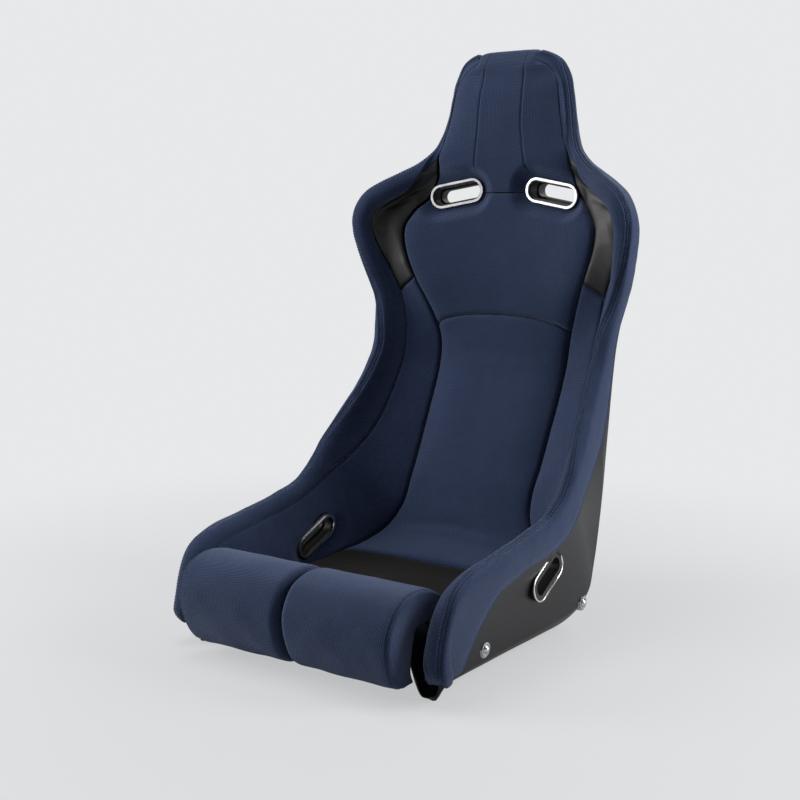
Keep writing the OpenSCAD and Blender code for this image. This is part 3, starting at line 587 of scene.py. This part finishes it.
def inflated(front, cap):
    """A pad's face blown up as cloth with its border sewn down, by at most cap."""
    m, n = front.shape[:2]
    rows = max(8, int(arc(front, 0)[-1].mean() / CLOTH_CELL))
    cols = max(8, int(arc(front, 1)[:, -1].mean() / CLOTH_CELL))
    sheet = sampled(front, np.linspace(0, m - 1, rows), np.linspace(0, n - 1, cols))
    idx = np.arange(rows * cols).reshape(rows, cols)
    quads = np.stack([idx[:-1, :-1], idx[1:, :-1], idx[1:, 1:], idx[:-1, 1:]], -1).reshape(-1, 4)
    ob = mesh_object("cloth_sheet", sheet.reshape(-1, 3), quads.tolist())
    border = np.unique(np.concatenate([idx[0], idx[-1], idx[:, 0], idx[:, -1]]))
    ob.vertex_groups.new(name="sewn").add(border.tolist(), 1.0, "REPLACE")
    mod = ob.modifiers.new("cloth", "CLOTH")
    mod.settings.vertex_group_mass = "sewn"
    mod.settings.use_pressure = True
    mod.settings.uniform_pressure_force = CLOTH_PRESSURE
    mod.settings.effector_weights.gravity = 0
    mod.point_cache.frame_start, mod.point_cache.frame_end = 1, CLOTH_FRAMES
    for step in range(1, CLOTH_FRAMES + 1):
        bpy.context.scene.frame_set(step)
    swollen = ob.evaluated_get(bpy.context.evaluated_depsgraph_get()).data
    flat = np.empty(3 * len(swollen.vertices), np.float32)
    swollen.vertices.foreach_get("co", flat)
    moved = flat.reshape(sheet.shape) / MM - sheet
    far = np.linalg.norm(moved, axis=-1, keepdims=True)
    moved *= cap * np.tanh(far / cap) / np.maximum(far, 1e-6)
    bpy.data.objects.remove(ob)
    bpy.context.scene.frame_set(1)
    moved = sampled(moved, np.linspace(0, rows - 1, m), np.linspace(0, cols - 1, n))
    return front + relax(relax(moved, 8, 0), 8, 1)


def dressed(name, front, back, mat, node, side):
    """Padded piece between two grids, standing for a CAD node."""
    ob = slab(name, front, back, mat, side)
    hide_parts(node)
    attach(ob, "root")
    return ob


def turned(*steps):
    """Rotation from steps such as ("Z", 10), the first one outermost."""
    m = np.eye(3)
    for axis, deg in steps:
        m = m @ np.array(Matrix.Rotation(math.radians(deg), 3, axis))
    return m


SHOULDER_X, SHOULDER_SLOT_Z, SHOULDER_TILT, SHOULDER_ROW = 97.0, 695.0, 10.0, 22.25
SHOULDER_HOLE, LAP_HOLE = (90.0, 28.0), (84.0, 28.0)
BEZEL_RIM, BEZEL_WALL, SHOULDER_REACH, LAP_REACH = 7.0, 3.0, 36.0, 33.0
LAP_SLOT_Y, LAP_SLOT_Z, LAP_SLOPE, LAP_ROW = BACK_Y - 289, 121.0, 27.0, 6.9


def seat_point(r, x):
    return outer(r, angle_at(r, x))


back_near, back_far = (seat_point(SHOULDER_ROW, SHOULDER_X + step)[1] for step in (-40, 40))
yaw = math.degrees(math.atan((back_near - back_far) / 80))
lap_floor = station(LAP_ROW)[3] + SINK
lap_deg = math.degrees(math.acos((1 - (LAP_SLOT_Z + SINK) / lap_floor) ** (station(LAP_ROW)[5] / 2)))
lap_x = outer(LAP_ROW, lap_deg)[0] + 0.3
lap_lean = math.degrees(math.atan(SIDE_LEAN * THIGH_W / lap_floor))
# place, axes (columns), hole, distance from the shell's face to the front rim
SHOULDER_SLOT = (np.array([SHOULDER_X, seat_point(SHOULDER_ROW, SHOULDER_X)[1], SHOULDER_SLOT_Z]),
                 turned(("Z", -yaw), ("Y", SHOULDER_TILT), ("X", -90)), SHOULDER_HOLE, SHOULDER_REACH)
LAP_SLOT = (np.array([lap_x, LAP_SLOT_Y, LAP_SLOT_Z]),
            turned(("Y", -lap_lean), ("Z", 90), ("X", 90), ("Z", LAP_SLOPE)), LAP_HOLE, LAP_REACH)


def sunk(p, slot, reach=26.0, under=1.5):
    """Presses a pad's face down round a slot, on both sides of the seat, to just under its rim."""
    place, axes, hole, depth = slot
    flat = p.reshape(-1, 3)
    sign = np.where(flat[:, :1] < 0, -1.0, 1.0) * np.array([[1.0, 0, 0]]) + np.array([[0, 1.0, 1.0]])
    q = (flat * sign - place) @ axes
    d = np.hypot(np.maximum(np.abs(q[:, 0]) - (hole[0] - hole[1]) / 2, 0), q[:, 1]) - hole[1] / 2 - BEZEL_RIM
    share = smooth(1 - np.maximum(d, 0) / reach) * (np.abs(q[:, 2]) < 120)
    plane = -depth + under
    q[:, 2] = mix(q[:, 2], np.maximum(q[:, 2], plane), share)
    return ((q @ axes.T + place) * sign).reshape(p.shape)


def cutter(name, slot, grow, low, high):
    """Capsule-shaped block through both slots of a pair, used as a cut and then removed."""
    place, axes, hole = slot[:3]
    w = hole[1] / 2 + grow
    run = (hole[0] - hole[1]) / 2
    ring = [(run + w * math.cos(a), w * math.sin(a)) for a in np.linspace(-math.pi / 2, math.pi / 2, 25)]
    ring += [(-x, -y) for x, y in ring]
    n = len(ring)
    pts = np.array([(x, y, z) for z in (low, high) for x, y in ring]) @ axes.T + place
    faces = [tuple(range(n - 1, -1, -1)), tuple(range(n, 2 * n))]
    faces += [(i, (i + 1) % n, n + (i + 1) % n, n + i) for i in range(n)]
    both = np.concatenate([pts, pts * (-1, 1, 1)])
    faces += [tuple(v + 2 * n for v in f[::-1]) for f in faces]
    return mesh_object(name, both, faces)


def cut(ob, *tools, folded=False):
    """Applies exact boolean cuts to a piece's mesh; folded: the mesh may meet itself."""
    for tool in tools:
        mod = ob.modifiers.new("cut", "BOOLEAN")
        mod.operation, mod.solver, mod.object, mod.use_self = "DIFFERENCE", "EXACT", tool, folded
    dg = bpy.context.evaluated_depsgraph_get()
    me = bpy.data.meshes.new_from_object(ob.evaluated_get(dg))
    ob.modifiers.clear()
    ob.data = me


shoulder_tool = cutter("shoulder_tool", SHOULDER_SLOT, BEZEL_RIM + 0.4, -150, 30)
lap_tool = cutter("lap_tool", LAP_SLOT, BEZEL_RIM + 0.4, -100, 30)
shoulder_hole = cutter("shoulder_hole", SHOULDER_SLOT, BEZEL_WALL + 0.4, -12, 12)
lap_hole = cutter("lap_hole", LAP_SLOT, BEZEL_WALL + 0.4, -12, 12)


def rim_rings(name, slot, grow, z, radius, mat):
    """Thin rings on the rims of a pair of slots."""
    place, axes, hole = slot[:3]
    w, run = hole[1] / 2 + grow, (hole[0] - hole[1]) / 2
    a = np.linspace(-np.pi / 2, np.pi / 2, 32)
    half_loop = np.stack([run + w * np.cos(a), w * np.sin(a)], -1)
    loop = np.concatenate([[(0, -w)], half_loop, -half_loop, [(0, -w)]])
    line = np.column_stack([loop, np.full(len(loop), z)]) @ axes.T + place
    return tube(name, [(line, np.broadcast_to(axes[:, 2], line.shape))], radius, mat, (1, -1), 12)


# Edge trim: a band round the shell's rim, the roll over it, and the roll's inner face
# row and turn round the roll of its double seam
SEAM_TURNS = np.array([
    (0, -88), (0.5, -60), (1, -22), (1.5, 8), (2, 20), (2.6, 23), (3.4, 10), (4.4, 2), (6.5, 0), (8.2, 10),
    (9.9, 8), (11.4, -18), (14, -28), (15.3, -30), (16, -20), (17, 8), (18, 16), (19, 36), (21, 50), (24, 50),
    (28, 60), (33, 60)])
# half the distance between the twin seams, and between the stitch rows beside them
TWIN_SEAM, TWIN_STITCH = 2.4, 5.2


def seam_turn(r):
    return np.interp(r, SEAM_TURNS[:, 0], SEAM_TURNS[:, 1])


BAND_N, ROLL_N, FACE_N = 12, 30, 9      # columns on the band, the roll and the inner face


def trim_grid(rows):
    r = np.asarray(rows)[:, None]
    t = np.linspace(0, 0.88, BAND_N)[None]
    ba = band_angle(r)
    lower = skin(r + 0 * t, ba + (90 - ba) * t, -mix(BAND_T, ROLL_PROUD, t ** 1.3))
    turns = mix(72, last_turn(r), np.linspace(0, 1, ROLL_N)[None])
    roll = roll_point(r, turns)
    inner = face(r, seam(r) * np.linspace(0, 1, FACE_N + 1)[None, 1:])
    return np.concatenate([lower, roll, inner], 1)


def trim_back(rows):
    r = np.asarray(rows)[:, None]
    t = np.linspace(0, 1, BAND_N + 6)[None]
    ba = band_angle(r)
    ahead = edge_frame(r)[1]
    outside = skin(r + 0 * t, ba + (90 - ba) * t, -CLEAR + 0 * (r + t)) + CLEAR * t[..., None] * ahead
    t = np.linspace(0, 1, ROLL_N + FACE_N - 6)[None]
    within = skin(r + 0 * t, mix(90, seam_angle(r, seam(r)), t), WALL + CLEAR + 0 * (r + t))
    return np.concatenate([outside, within + CLEAR * (1 - t[..., None]) * ahead], 1)


def seam_angle(r, e):
    """Lateral angle of the shell beside a point of the face, straight out from it."""
    cy, cz, ky, kz, _, n = station(r)[:6]
    p = face(r, e)
    t = ((p[..., 1] - cy) * (ky - cy) + (p[..., 2] - cz) * (kz - cz)) / ((ky - cy) ** 2 + (kz - cz) ** 2)
    return np.degrees(np.arccos(np.clip(1 - t, 0.02, 0.9) ** (n / 2)))


def footed(p):
    """The trim's lower end: cut level, a little higher in front, with its corner rounded off."""
    x, y = np.abs(p[..., 0]), p[..., 1]
    foot = FOOT_Z + 1 + 8 * smooth((FRONT_Y - 4 - y) / 28)
    z = foot + 2.5 * np.logaddexp(0, (p[..., 2] - foot) / 2.5)
    keep = np.sqrt(1 - 0.9 * np.clip(1 - (z - foot) / 22, 0, 1) ** 2)
    x = np.where(x > 237, 237 + (x - 237) * keep, x)
    y = np.where(y < FRONT_Y - 6, FRONT_Y - 6 + (y - FRONT_Y + 6) * keep, y)
    return np.stack([x, y, z], -1)


trim_rows = np.linspace(0, LAST, 460)
trim_base = relax(footed(trim_grid(trim_rows)), 6)
crown = smooth((trim_rows - 28) / 1.5)[:, None, None]   # one even bend round the head's corners
trim_base = mix(trim_base, relax(trim_base, 60, 0), crown)
trim_normal = normals(trim_base)
hold = np.searchsorted(trim_rows, 1.6)                 # the band's rows meet in a point at the foot
trim_normal[:hold, :BAND_N - 1] = trim_normal[hold, :BAND_N - 1]
span = arc(trim_base, 1)
# arc place of the double seam on each row
turn_cols = BAND_N + (72 - seam_turn(trim_rows)) / (72 - last_turn(trim_rows)) * (ROLL_N - 1)
turn_cols = np.clip(turn_cols, 3, trim_base.shape[1] - FACE_N - 3)
k = np.floor(turn_cols).astype(int)
seam_at = mix(span[np.arange(len(k)), k], span[np.arange(len(k)), k + 1], turn_cols - k)
off = span - seam_at[:, None]
calm = smooth((trim_rows - 1.5) / 4)[:, None]          # few ripples at the foot
head = necked(trim_rows)[:, None]
swell = -mix(lowered(trim_base, 6.0, 2.6, (1, 0, 0.5, 1)), lowered(trim_base, 3.0, 1.2, (1, 0, 1, 1)), head)
swell -= 1.5 * np.exp(-((np.abs(off) - TWIN_SEAM) / 1.3) ** 2) - 1.0 * np.exp(-((np.abs(off) - 7) / 4.0) ** 2)
swell += calm * (0.7 * ripple(trim_base, 95, 3) + 0.25 * ripple(trim_base, 30, 4))
trim_front = trim_base + swell[..., None] * trim_normal
trim_under = footed(trim_back(trim_rows))


def on_trim(offset):
    """Line on the trim at an arc distance from the double seam, with its normals, short of both ends."""
    place = seam_at + offset
    line, nor = [], []
    for i in range(len(trim_rows)):
        line.append([np.interp(place[i], span[i], trim_front[i, :, c]) for c in range(3)])
        nor.append([np.interp(place[i], span[i], trim_normal[i, :, c]) for c in range(3)])
    return np.array(line)[4:-4], unit(np.array(nor))[4:-4]


for side, word in SIDES:
    dressed(f"trim_{word}", trim_front, trim_under, cloth, f"edge_trim_{word}", side)
stitches = [on_trim(side * TWIN_STITCH) for side in (-1, 1)]
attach(thread("trim_stitches", stitches, thread_navy, (1, -1)), "root")
seams = [on_trim(side * TWIN_SEAM) for side in (-1, 1)]
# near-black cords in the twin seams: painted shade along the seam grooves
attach(tube("trim_seam_shade_cords", seams, 0.6, seam_shade_thread, (1, -1)), "root")
welt, up = trim_front[3:-3, 0] + 0.6 * trim_normal[3:-3, 0], trim_normal[3:-3, 0]
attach(tube("trim_piping", [(welt, up)], 1.3, thread_navy, (1, -1)), "root")

# Side panels and shoulder inserts: the bolster's face between trim and groove
INSERT_FOOT, INSERT_SLANT, INSERT_TOP = 17.3, 0.75, 25.6


def panel_e(r, t):
    return mix(seam(r) + 0.010, 1, t)


def slanted(r, t):
    return r + INSERT_SLANT * t * smooth((r - INSERT_FOOT + 2) / 2)


def insert_row(r, t):
    return mix(r + INSERT_SLANT * t, r, smooth((r - INSERT_FOOT) / 3))


def bed(r):
    return WALL + 0.8 + 1.2 * (1 - smooth((r - 6) / 3))


def panel_pair(rows, cols, row_fn):
    r, t = np.meshgrid(rows, cols, indexing="ij")
    q = row_fn(r, t)
    front = face(q, panel_e(q, t))
    back = skin(q, mix(seam_angle(q, panel_e(q, 0)), angle_at(q, station(q)[9]), t), bed(q))
    return front, back


for name, rows, row_fn, mat, soft, open_ends, slot, tool in (
        ("side_panel", np.linspace(0, INSERT_FOOT, 250), slanted, cloth, 0.8, (0, 1, 1, 1),
         LAP_SLOT, lap_tool),
        ("shoulder_insert", np.linspace(INSERT_FOOT + 0.02, INSERT_TOP, 120), insert_row, leatherette, 0.7,
         (1, 0, 1, 1), SHOULDER_SLOT, shoulder_tool)):
    front, back = map(footed, panel_pair(rows, np.linspace(0, 1, 48), row_fn))
    front = inflated(front, 3.0)
    n = normals(front)
    lift = -lowered(front, 7.0, 3.2, open_ends) + 0.8 * ripple(front, 80, 11) + 0.2 * ripple(front, 25, 12)
    front = sunk(front + lift[..., None] * n, slot)
    for side, word in SIDES:
        cut(dressed(f"{name}_{word}_pad", front, back, mat, f"{name}_{word}", side), tool)

# Cushions between the two grooves
SEAT_ROW, ARCH_ROW, ARCH_RISE, NECK_ROW = 7.35, 16.35, 0.42, 22.35
CROWN = 14.0


def cushion_pair(foot, foot_arch, head, head_arch, m, n=90):
    """Face and back of a cushion between two rows, each with an arch across the seat."""
    t, v = np.meshgrid(np.linspace(0, 1, m), np.linspace(1, -1, n), indexing="ij")
    # closer columns near the borders
    v = np.sin(v * np.pi / 2) * 0.35 + v * 0.65
    r = mix(foot, head, t) + (1 - v * v) * mix(foot_arch, head_arch, t)
    s = station(r)
    u = v * (s[9] - GAP)
    depth = mix(s[7], s[8] + CROWN, v * v) - CROWN * np.abs(v) ** 10
    front = inside(r, u, depth)
    back = skin(r, angle_at(r, u), bed(r))
    return front, back


def raised(front, back, lift):
    """Moves a pad's face along its normals, never through its back."""
    n = normals(front)
    return front + np.maximum(lift, 1.5 - np.sum((front - back) * n, -1))[..., None] * n


for name, spec, mat, node, soft, m in (
        ("seat_pad_cover", (4.75, 0, SEAT_ROW - 0.03, 0), suede, "seat_pad", 0.6, 60),
        ("lower_cushion_cover", (SEAT_ROW + 0.03, 0, ARCH_ROW - 0.02, ARCH_RISE), cloth,
         "lower_back_cushion", 0.8, 140),
        ("upper_cushion_cover", (ARCH_ROW + 0.02, ARCH_RISE, NECK_ROW - 0.02, 0), cloth,
         "upper_back_cushion", 0.8, 90)):
    front, back = cushion_pair(*spec, m)
    front = inflated(front, 5.0)
    lift = -lowered(front, 9.0, 4.0) + 0.6 * ripple(front, 110, 21) + 0.2 * ripple(front, 35, 22)
    front = raised(front, back, lift)
    if name == "upper_cushion_cover":
        front = sunk(front, SHOULDER_SLOT)
    ob = dressed(name, front, back, mat, node, 1)
    if name == "upper_cushion_cover":
        cut(ob, shoulder_tool, folded=True)

# Headrest pad, wrapped over the top edge of the shell
TOP_BAND = 4                        # CAD stations that it reaches down the back
HEAD_END = LAST - 0.1               # row where the pad's face turns into the roll over the top
TOP_HALF = 67.0                     # the pad's half width on the top edge, over the trims' ends
HEAD_M, HEAD_N, WRAP_M, TAIL_M = 150, 190, 26, 14      # its face's rows and columns, and the rows past it
# height and half distance of its two sewn seams
HEAD_SEAMS = np.array([(700, 53), (755, 48), (805, 42), (855, 41), (905, 38), (935, 35)])


def carried(r, x, depth):
    """Point of the skin at a lateral place, carried on straight past the shell's edge."""
    near_x = np.clip(x, -0.92 * station(r)[4], 0.92 * station(r)[4])
    p = skin(r, angle_at(r, near_x), depth)
    p[..., 0] += x - near_x
    return p


def headrest_pair():
    """Face and back of the headrest pad, carried over the shell's top edge and down its back."""
    t, v = np.meshgrid(np.linspace(0, 1, HEAD_M), np.linspace(1, -1, HEAD_N), indexing="ij")
    r = mix(NECK_ROW + 0.03, HEAD_END, t)
    s = station(r)
    u = v * (TOP_HALF + 2 * np.logaddexp(0, (s[9] - GAP - TOP_HALF) / 2))
    edge = CROWN * (1 - 0.5 * smooth((r - 24) / 2))
    front = inside(r, u, mix(s[7], s[8] + edge, v * v) - edge * np.abs(v) ** 8)
    back = carried(r, u, bed(r))
    v = v[0]
    x = v * TOP_HALF
    deg = angle_at(LAST + 0 * v, np.clip(x, -46, 46))
    out = -inward(LAST, deg)
    ahead = unit(np.stack([0 * v, -out[:, 2], out[:, 1]], -1))
    base, size = carried(LAST + 0 * v, x, 0 * v), ROLL_R * station(LAST)[10]
    centre = base - (size - ROLL_PROUD) * out
    wraps, unders = [], []
    for turn in np.radians(np.linspace(6, 84, WRAP_M)):
        wraps.append(centre + size * (math.sin(turn) * out + math.cos(turn) * ahead))
    for q in np.linspace(0, 1, WRAP_M):
        unders.append(base - mix(WALL + CLEAR, -CLEAR, q) * out + CLEAR * ahead)
    for q in np.linspace(0, 1, TAIL_M)[1:]:
        r = LAST - TOP_BAND * STEP * q + 0 * v
        under_trim = outer(r, band_angle(r) + 4)[..., 0]
        x = v * (TOP_HALF + 4 * np.logaddexp(0, (under_trim - TOP_HALF) / 4))
        wraps.append(carried(r, x, -mix(ROLL_PROUD, BAND_T, q) + 0 * v))
        unders.append(carried(r, x, -CLEAR + 0 * v))
    return np.concatenate([front, np.array(wraps)]), np.concatenate([back, np.array(unders)])


front, back = headrest_pair()
front = inflated(relax(front, 14, 0), 3.5)
lift = -lowered(front, 3.0, 1.2) + 0.5 * ripple(front, 90, 31)
# two sewn seams down its front, which draw the cloth in
near = np.abs(front[..., 0]) - np.interp(front[..., 2], *HEAD_SEAMS.T)
row = np.arange(len(front))[:, None]
drawn = mix(1, 0.3, smooth((row - HEAD_M + 32) / 30))       # less so over the top
lift += drawn * (0.8 * np.exp(-(near / 14) ** 2) - 1.9 * np.exp(-(near / 1.7) ** 2))
# at the top corners its edge is tucked under the trims' ends
tucked = smooth((row - HEAD_M + 14) / 12) * smooth((HEAD_M + WRAP_M + 4 - row) / 10)
lift -= 4.6 * tucked * smooth((np.abs(front[..., 0]) - TOP_HALF + 20) / 19)
front = raised(front, back, lift)
front = sunk(front, SHOULDER_SLOT)
cut(dressed("headrest_cover", front, back, cloth, "headrest_pad", 1), shoulder_tool)


def across(p, values, level, first=0, last_=None):
    """Line where a value that grows along each row of a grid reaches a level."""
    rows = range(len(p))[first:last_]
    line = [[np.interp(level, values[i], p[i, :, c]) for c in range(3)] for i in rows]
    nor = normals(p)
    up = [[np.interp(level, values[i], nor[i, :, c]) for c in range(3)] for i in rows]
    return np.array(line), unit(np.array(up))


half_n = HEAD_N // 2
line, up = across(front[:, half_n:], near[:, half_n:], 0.0, 26, HEAD_M + 5)
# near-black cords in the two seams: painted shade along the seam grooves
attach(tube("headrest_seam_shade_cords", [(line - 0.2 * up, up)], 0.34, seam_shade_thread, (1, -1)), "root")

# Shell: the same loft, fine enough to read as one smooth moulding
half_deg = np.concatenate([np.linspace(0, 60, 34)[1:], np.linspace(60, 90, 36)[1:]])
degs = np.concatenate([half_deg[::-1], [0], -half_deg])
shell_rows = np.linspace(0, LAST, 300)
rr, aa = np.meshgrid(shell_rows, degs, indexing="ij")
shell = slab("shell_moulding", skin(rr, aa, WALL + 0 * rr), outer(rr, aa), shell_plastic)
cut(shell, shoulder_hole, lap_hole)
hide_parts("shell")
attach(shell, "root")

# Thigh pads
PAD_W, PAD_GAP, PAD_TOP, PAD_FOOT = 194.0, 9.0, 152.0, 18.0
rest = RAMP + WALL + 0.6
tail = FRONT_Y + 78
OUT = np.array([(FRONT_Y - 6, PAD_FOOT + 2), (FRONT_Y - 30, PAD_FOOT), (FRONT_Y - 54, PAD_FOOT + 17),
                (FRONT_Y - 70, mix(PAD_FOOT, PAD_TOP, .41)), (FRONT_Y - 70, mix(PAD_FOOT, PAD_TOP, .67)),
                (FRONT_Y - 50, PAD_TOP - 14), (FRONT_Y - 13, PAD_TOP), (FRONT_Y + 26, PAD_TOP - 4),
                (FRONT_Y + 58, PAD_TOP - 20), (tail + 4, rest + 12)])
IN = np.array([(FRONT_Y - 4, PAD_FOOT + 8), (FRONT_Y - 4, PAD_FOOT + 26), (FRONT_Y - 4, rest - 40),
               (FRONT_Y - 4, rest - 18), (FRONT_Y - 3, rest - 5), (FRONT_Y + 6, rest), (FRONT_Y + 24, rest),
               (FRONT_Y + 42, rest), (FRONT_Y + 60, rest), (tail, rest)])


def spline(points, t):
    """Catmull-Rom curve through points, t in 0..1."""
    points = np.asarray(points, float)
    s = np.asarray(t) * (len(points) - 1)
    k = np.minimum(np.floor(s).astype(int), len(points) - 2)
    f = (s - k)[..., None]
    a, b = points[np.maximum(k - 1, 0)], points[k]
    c, d = points[k + 1], points[np.minimum(k + 2, len(points) - 1)]
    return curve(a, b, c, d, f)


def thigh_pad(m=150, n=140, bend=9, cap=24):
    """The pad over the pan's front edge; its outer end is a panel that leans in at the foot."""
    t = np.linspace(0, 1, m)[:, None]
    o, i_ = spline(OUT, t[:, 0]), spline(IN, t[:, 0])
    thick = np.linalg.norm(o - i_, axis=-1)[:, None]
    fall = np.where(t < 0.66, PAD_TOP - o[:, 1:], 0) / (PAD_TOP - PAD_FOOT)
    fall = np.clip(fall, 0, 1)
    end = PAD_W - 1 - 9 * fall ** 1.5
    corner = np.minimum(7, 0.35 * thick)
    w = np.linspace(0, 1, n)[None]
    x = (end - corner) * mix(w, 0.5 - 0.5 * np.cos(np.pi * w), 0.6)
    full = mix(0.84, 1.0, np.sqrt(1 - (1 - np.clip(x / 12, 0, 1)) ** 2)) + 0.03 * np.sin(np.pi * w)
    a = np.radians(np.linspace(0, 90, bend))[None, 1:]
    x = np.concatenate([x, end - corner * (1 - np.sin(a))], 1)
    full = np.concatenate([full, 1 - corner * (1 - np.cos(a)) / thick], 1)
    e = np.linspace(0, 1, cap)[None, 1:]
    x = np.concatenate([x, end + 2 * np.sin(np.pi * e) - 4 * e], 1)[..., None] + PAD_GAP / 2
    full = np.concatenate([full, mix(1 - corner / thick, 0.05, e)], 1)[..., None]
    front = np.concatenate([x, mix(i_[:, None], o[:, None], full)], -1)
    flat = x[:, :1] + (end - 5)[..., None] * np.linspace(0, 1, x.shape[1])[None, :, None]
    back = np.concatenate([flat, i_[:, None] + 0 * x], -1)
    return front[:, ::-1], back[:, ::-1], cap + bend - 4


front, back, seam_col = thigh_pad()
front = inflated(front, 4.0)
n = normals(front)
off = arc(front, 1)
off = off - off[:, seam_col][:, None]
lift = 0.8 * ripple(front, 80, 41) + 0.15 * ripple(front, 30, 42)
lift -= 1.6 * np.exp(-(off / 1.5) ** 2) + 0.8 * np.exp(-(off / 6) ** 2)
front = front + lift[..., None] * n
for side, word in SIDES:
    dressed(f"thigh_pad_{word}_cover", front, back, cloth, f"thigh_pad_{word}", side)
line, up = across(front, off, 0.0, 4, 104)
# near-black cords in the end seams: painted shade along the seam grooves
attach(tube("thigh_pad_seam_shade_cords", [(line + 0.1 * up, up)], 0.45, seam_shade_thread, (1, -1)), "root")
line, up = across(front, off, 3.4, 4, 104)
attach(thread("thigh_pad_stitches", [(line, up)], thread_navy, (1, -1)), "root")

for tool in (shoulder_tool, lap_tool, shoulder_hole, lap_hole):
    bpy.data.objects.remove(tool)

# ---------------------------------------------------------------------------
# CAD nodes that stay
# ---------------------------------------------------------------------------
def finish_node(node, mat):
    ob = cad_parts[node]
    ob.data.materials.clear()
    ob.data.materials.append(mat)


for word in ("left", "right"):
    for node in ("shoulder_bezel_", "shoulder_rear_bezel_", "lap_bezel_", "lap_outer_bezel_"):
        finish_node(node + word, bezel_plastic)
    finish_node("shoulder_ring_" + word, ring_metal)
    finish_node("lap_ring_" + word, dark_metal)
    finish_node("mount_inserts_" + word, steel)
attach(rim_rings("lap_outer_rings", LAP_SLOT, BEZEL_RIM - 1.5, 2.9, 1.6, dark_metal), "root")
finish_node("mount_bolts", bolt_metal)
finish_node("mount_washers", bolt_metal)

# ---------------------------------------------------------------------------
# Stage
# ---------------------------------------------------------------------------
FOCAL, ROLL = 1342 / 800, 0.4           # focal length over the picture's width; camera roll in degrees
BACKDROP = (0.80, 0.81, 0.82)

scene = bpy.context.scene
camera_data = bpy.data.cameras.new("camera")
camera_data.sensor_width = 36
camera_data.lens = FOCAL * camera_data.sensor_width
camera = bpy.data.objects.new("camera", camera_data)
scene.collection.objects.link(camera)
place = Vector((1.2050, -1.7093, 0.6563))
aim = Vector((-0.0160, -0.0118, 0.3690))
turn = (aim - place).to_track_quat("-Z", "Y").to_matrix().to_4x4()
camera.matrix_world = Matrix.Translation(place) @ turn @ Matrix.Rotation(math.radians(ROLL), 4, "Z")
scene.camera = camera


def seen(tree):
    """1 for the rays that show the background itself; what lights the object stays dimmer."""
    path = add(tree, "ShaderNodeLightPath").outputs
    return maths(tree, "MAXIMUM", path["Is Camera Ray"], path["Is Transmission Ray"])


# A pale floor that keeps the object's shadow and fades into the backdrop's colour
floor_mat, tree, bsdf = new_material("pale_floor", (0.55, 0.56, 0.57), 0.6, Specular_IOR_Level=0.2)
radius = add(tree, "ShaderNodeVectorMath", {0: object_coords(tree)}, operation="LENGTH").outputs["Value"]
far = ranged(tree, radius, 0.45, 1.5, 0.62, interpolation_type="SMOOTHSTEP")
glow = add(tree, "ShaderNodeEmission", {"Color": (*BACKDROP, 1), "Strength": 1.0}).outputs[0]
share = maths(tree, "MULTIPLY", far, seen(tree))
blend = add(tree, "ShaderNodeMixShader", {0: share, 1: bsdf.outputs[0], 2: glow})
tree.links.new(blend.outputs[0], tree.nodes["Material Output"].inputs["Surface"])
bpy.ops.mesh.primitive_plane_add(size=60)
floor = bpy.context.object
floor.name = "floor"
floor.location = (0, 0, -0.0005)
floor.data.materials.append(floor_mat)

world = bpy.data.worlds.new("studio")
scene.world = world
world.use_nodes = True
tree = world.node_tree
lit = tree.nodes["Background"]
lit.inputs["Color"].default_value = (1, 1, 1, 1)
lit.inputs["Strength"].default_value = 0.16
shown = add(tree, "ShaderNodeBackground", {"Color": (*BACKDROP, 1), "Strength": 1.0}).outputs[0]
blend = add(tree, "ShaderNodeMixShader", {0: seen(tree), 1: lit.outputs[0], 2: shown})
tree.links.new(blend.outputs[0], tree.nodes["World Output"].inputs["Surface"])


def area_light(name, location, target, size, power):
    data = bpy.data.lights.new(name, "AREA")
    data.shape = "RECTANGLE"
    data.size, data.size_y = size
    data.energy = power
    ob = bpy.data.objects.new(name, data)
    ob.location = location
    ob.rotation_euler = (Vector(target) - Vector(location)).to_track_quat("-Z", "Y").to_euler()
    scene.collection.objects.link(ob)


area_light("left", (-1.7, -1.2, 1.1), (0, -0.1, 0.35), (0.9, 1.5), 34)
area_light("right", (2.0, 0.9, 1.1), (0, 0, 0.4), (0.9, 1.8), 46)
area_light("top", (-0.5, -0.3, 2.6), (0, 0, 0.4), (1.5, 1.5), 26)
area_light("back", (0.2, 2.2, 2.0), (0, 0, 0.5), (1.6, 1.0), 14)

scene.view_settings.view_transform = "Standard"
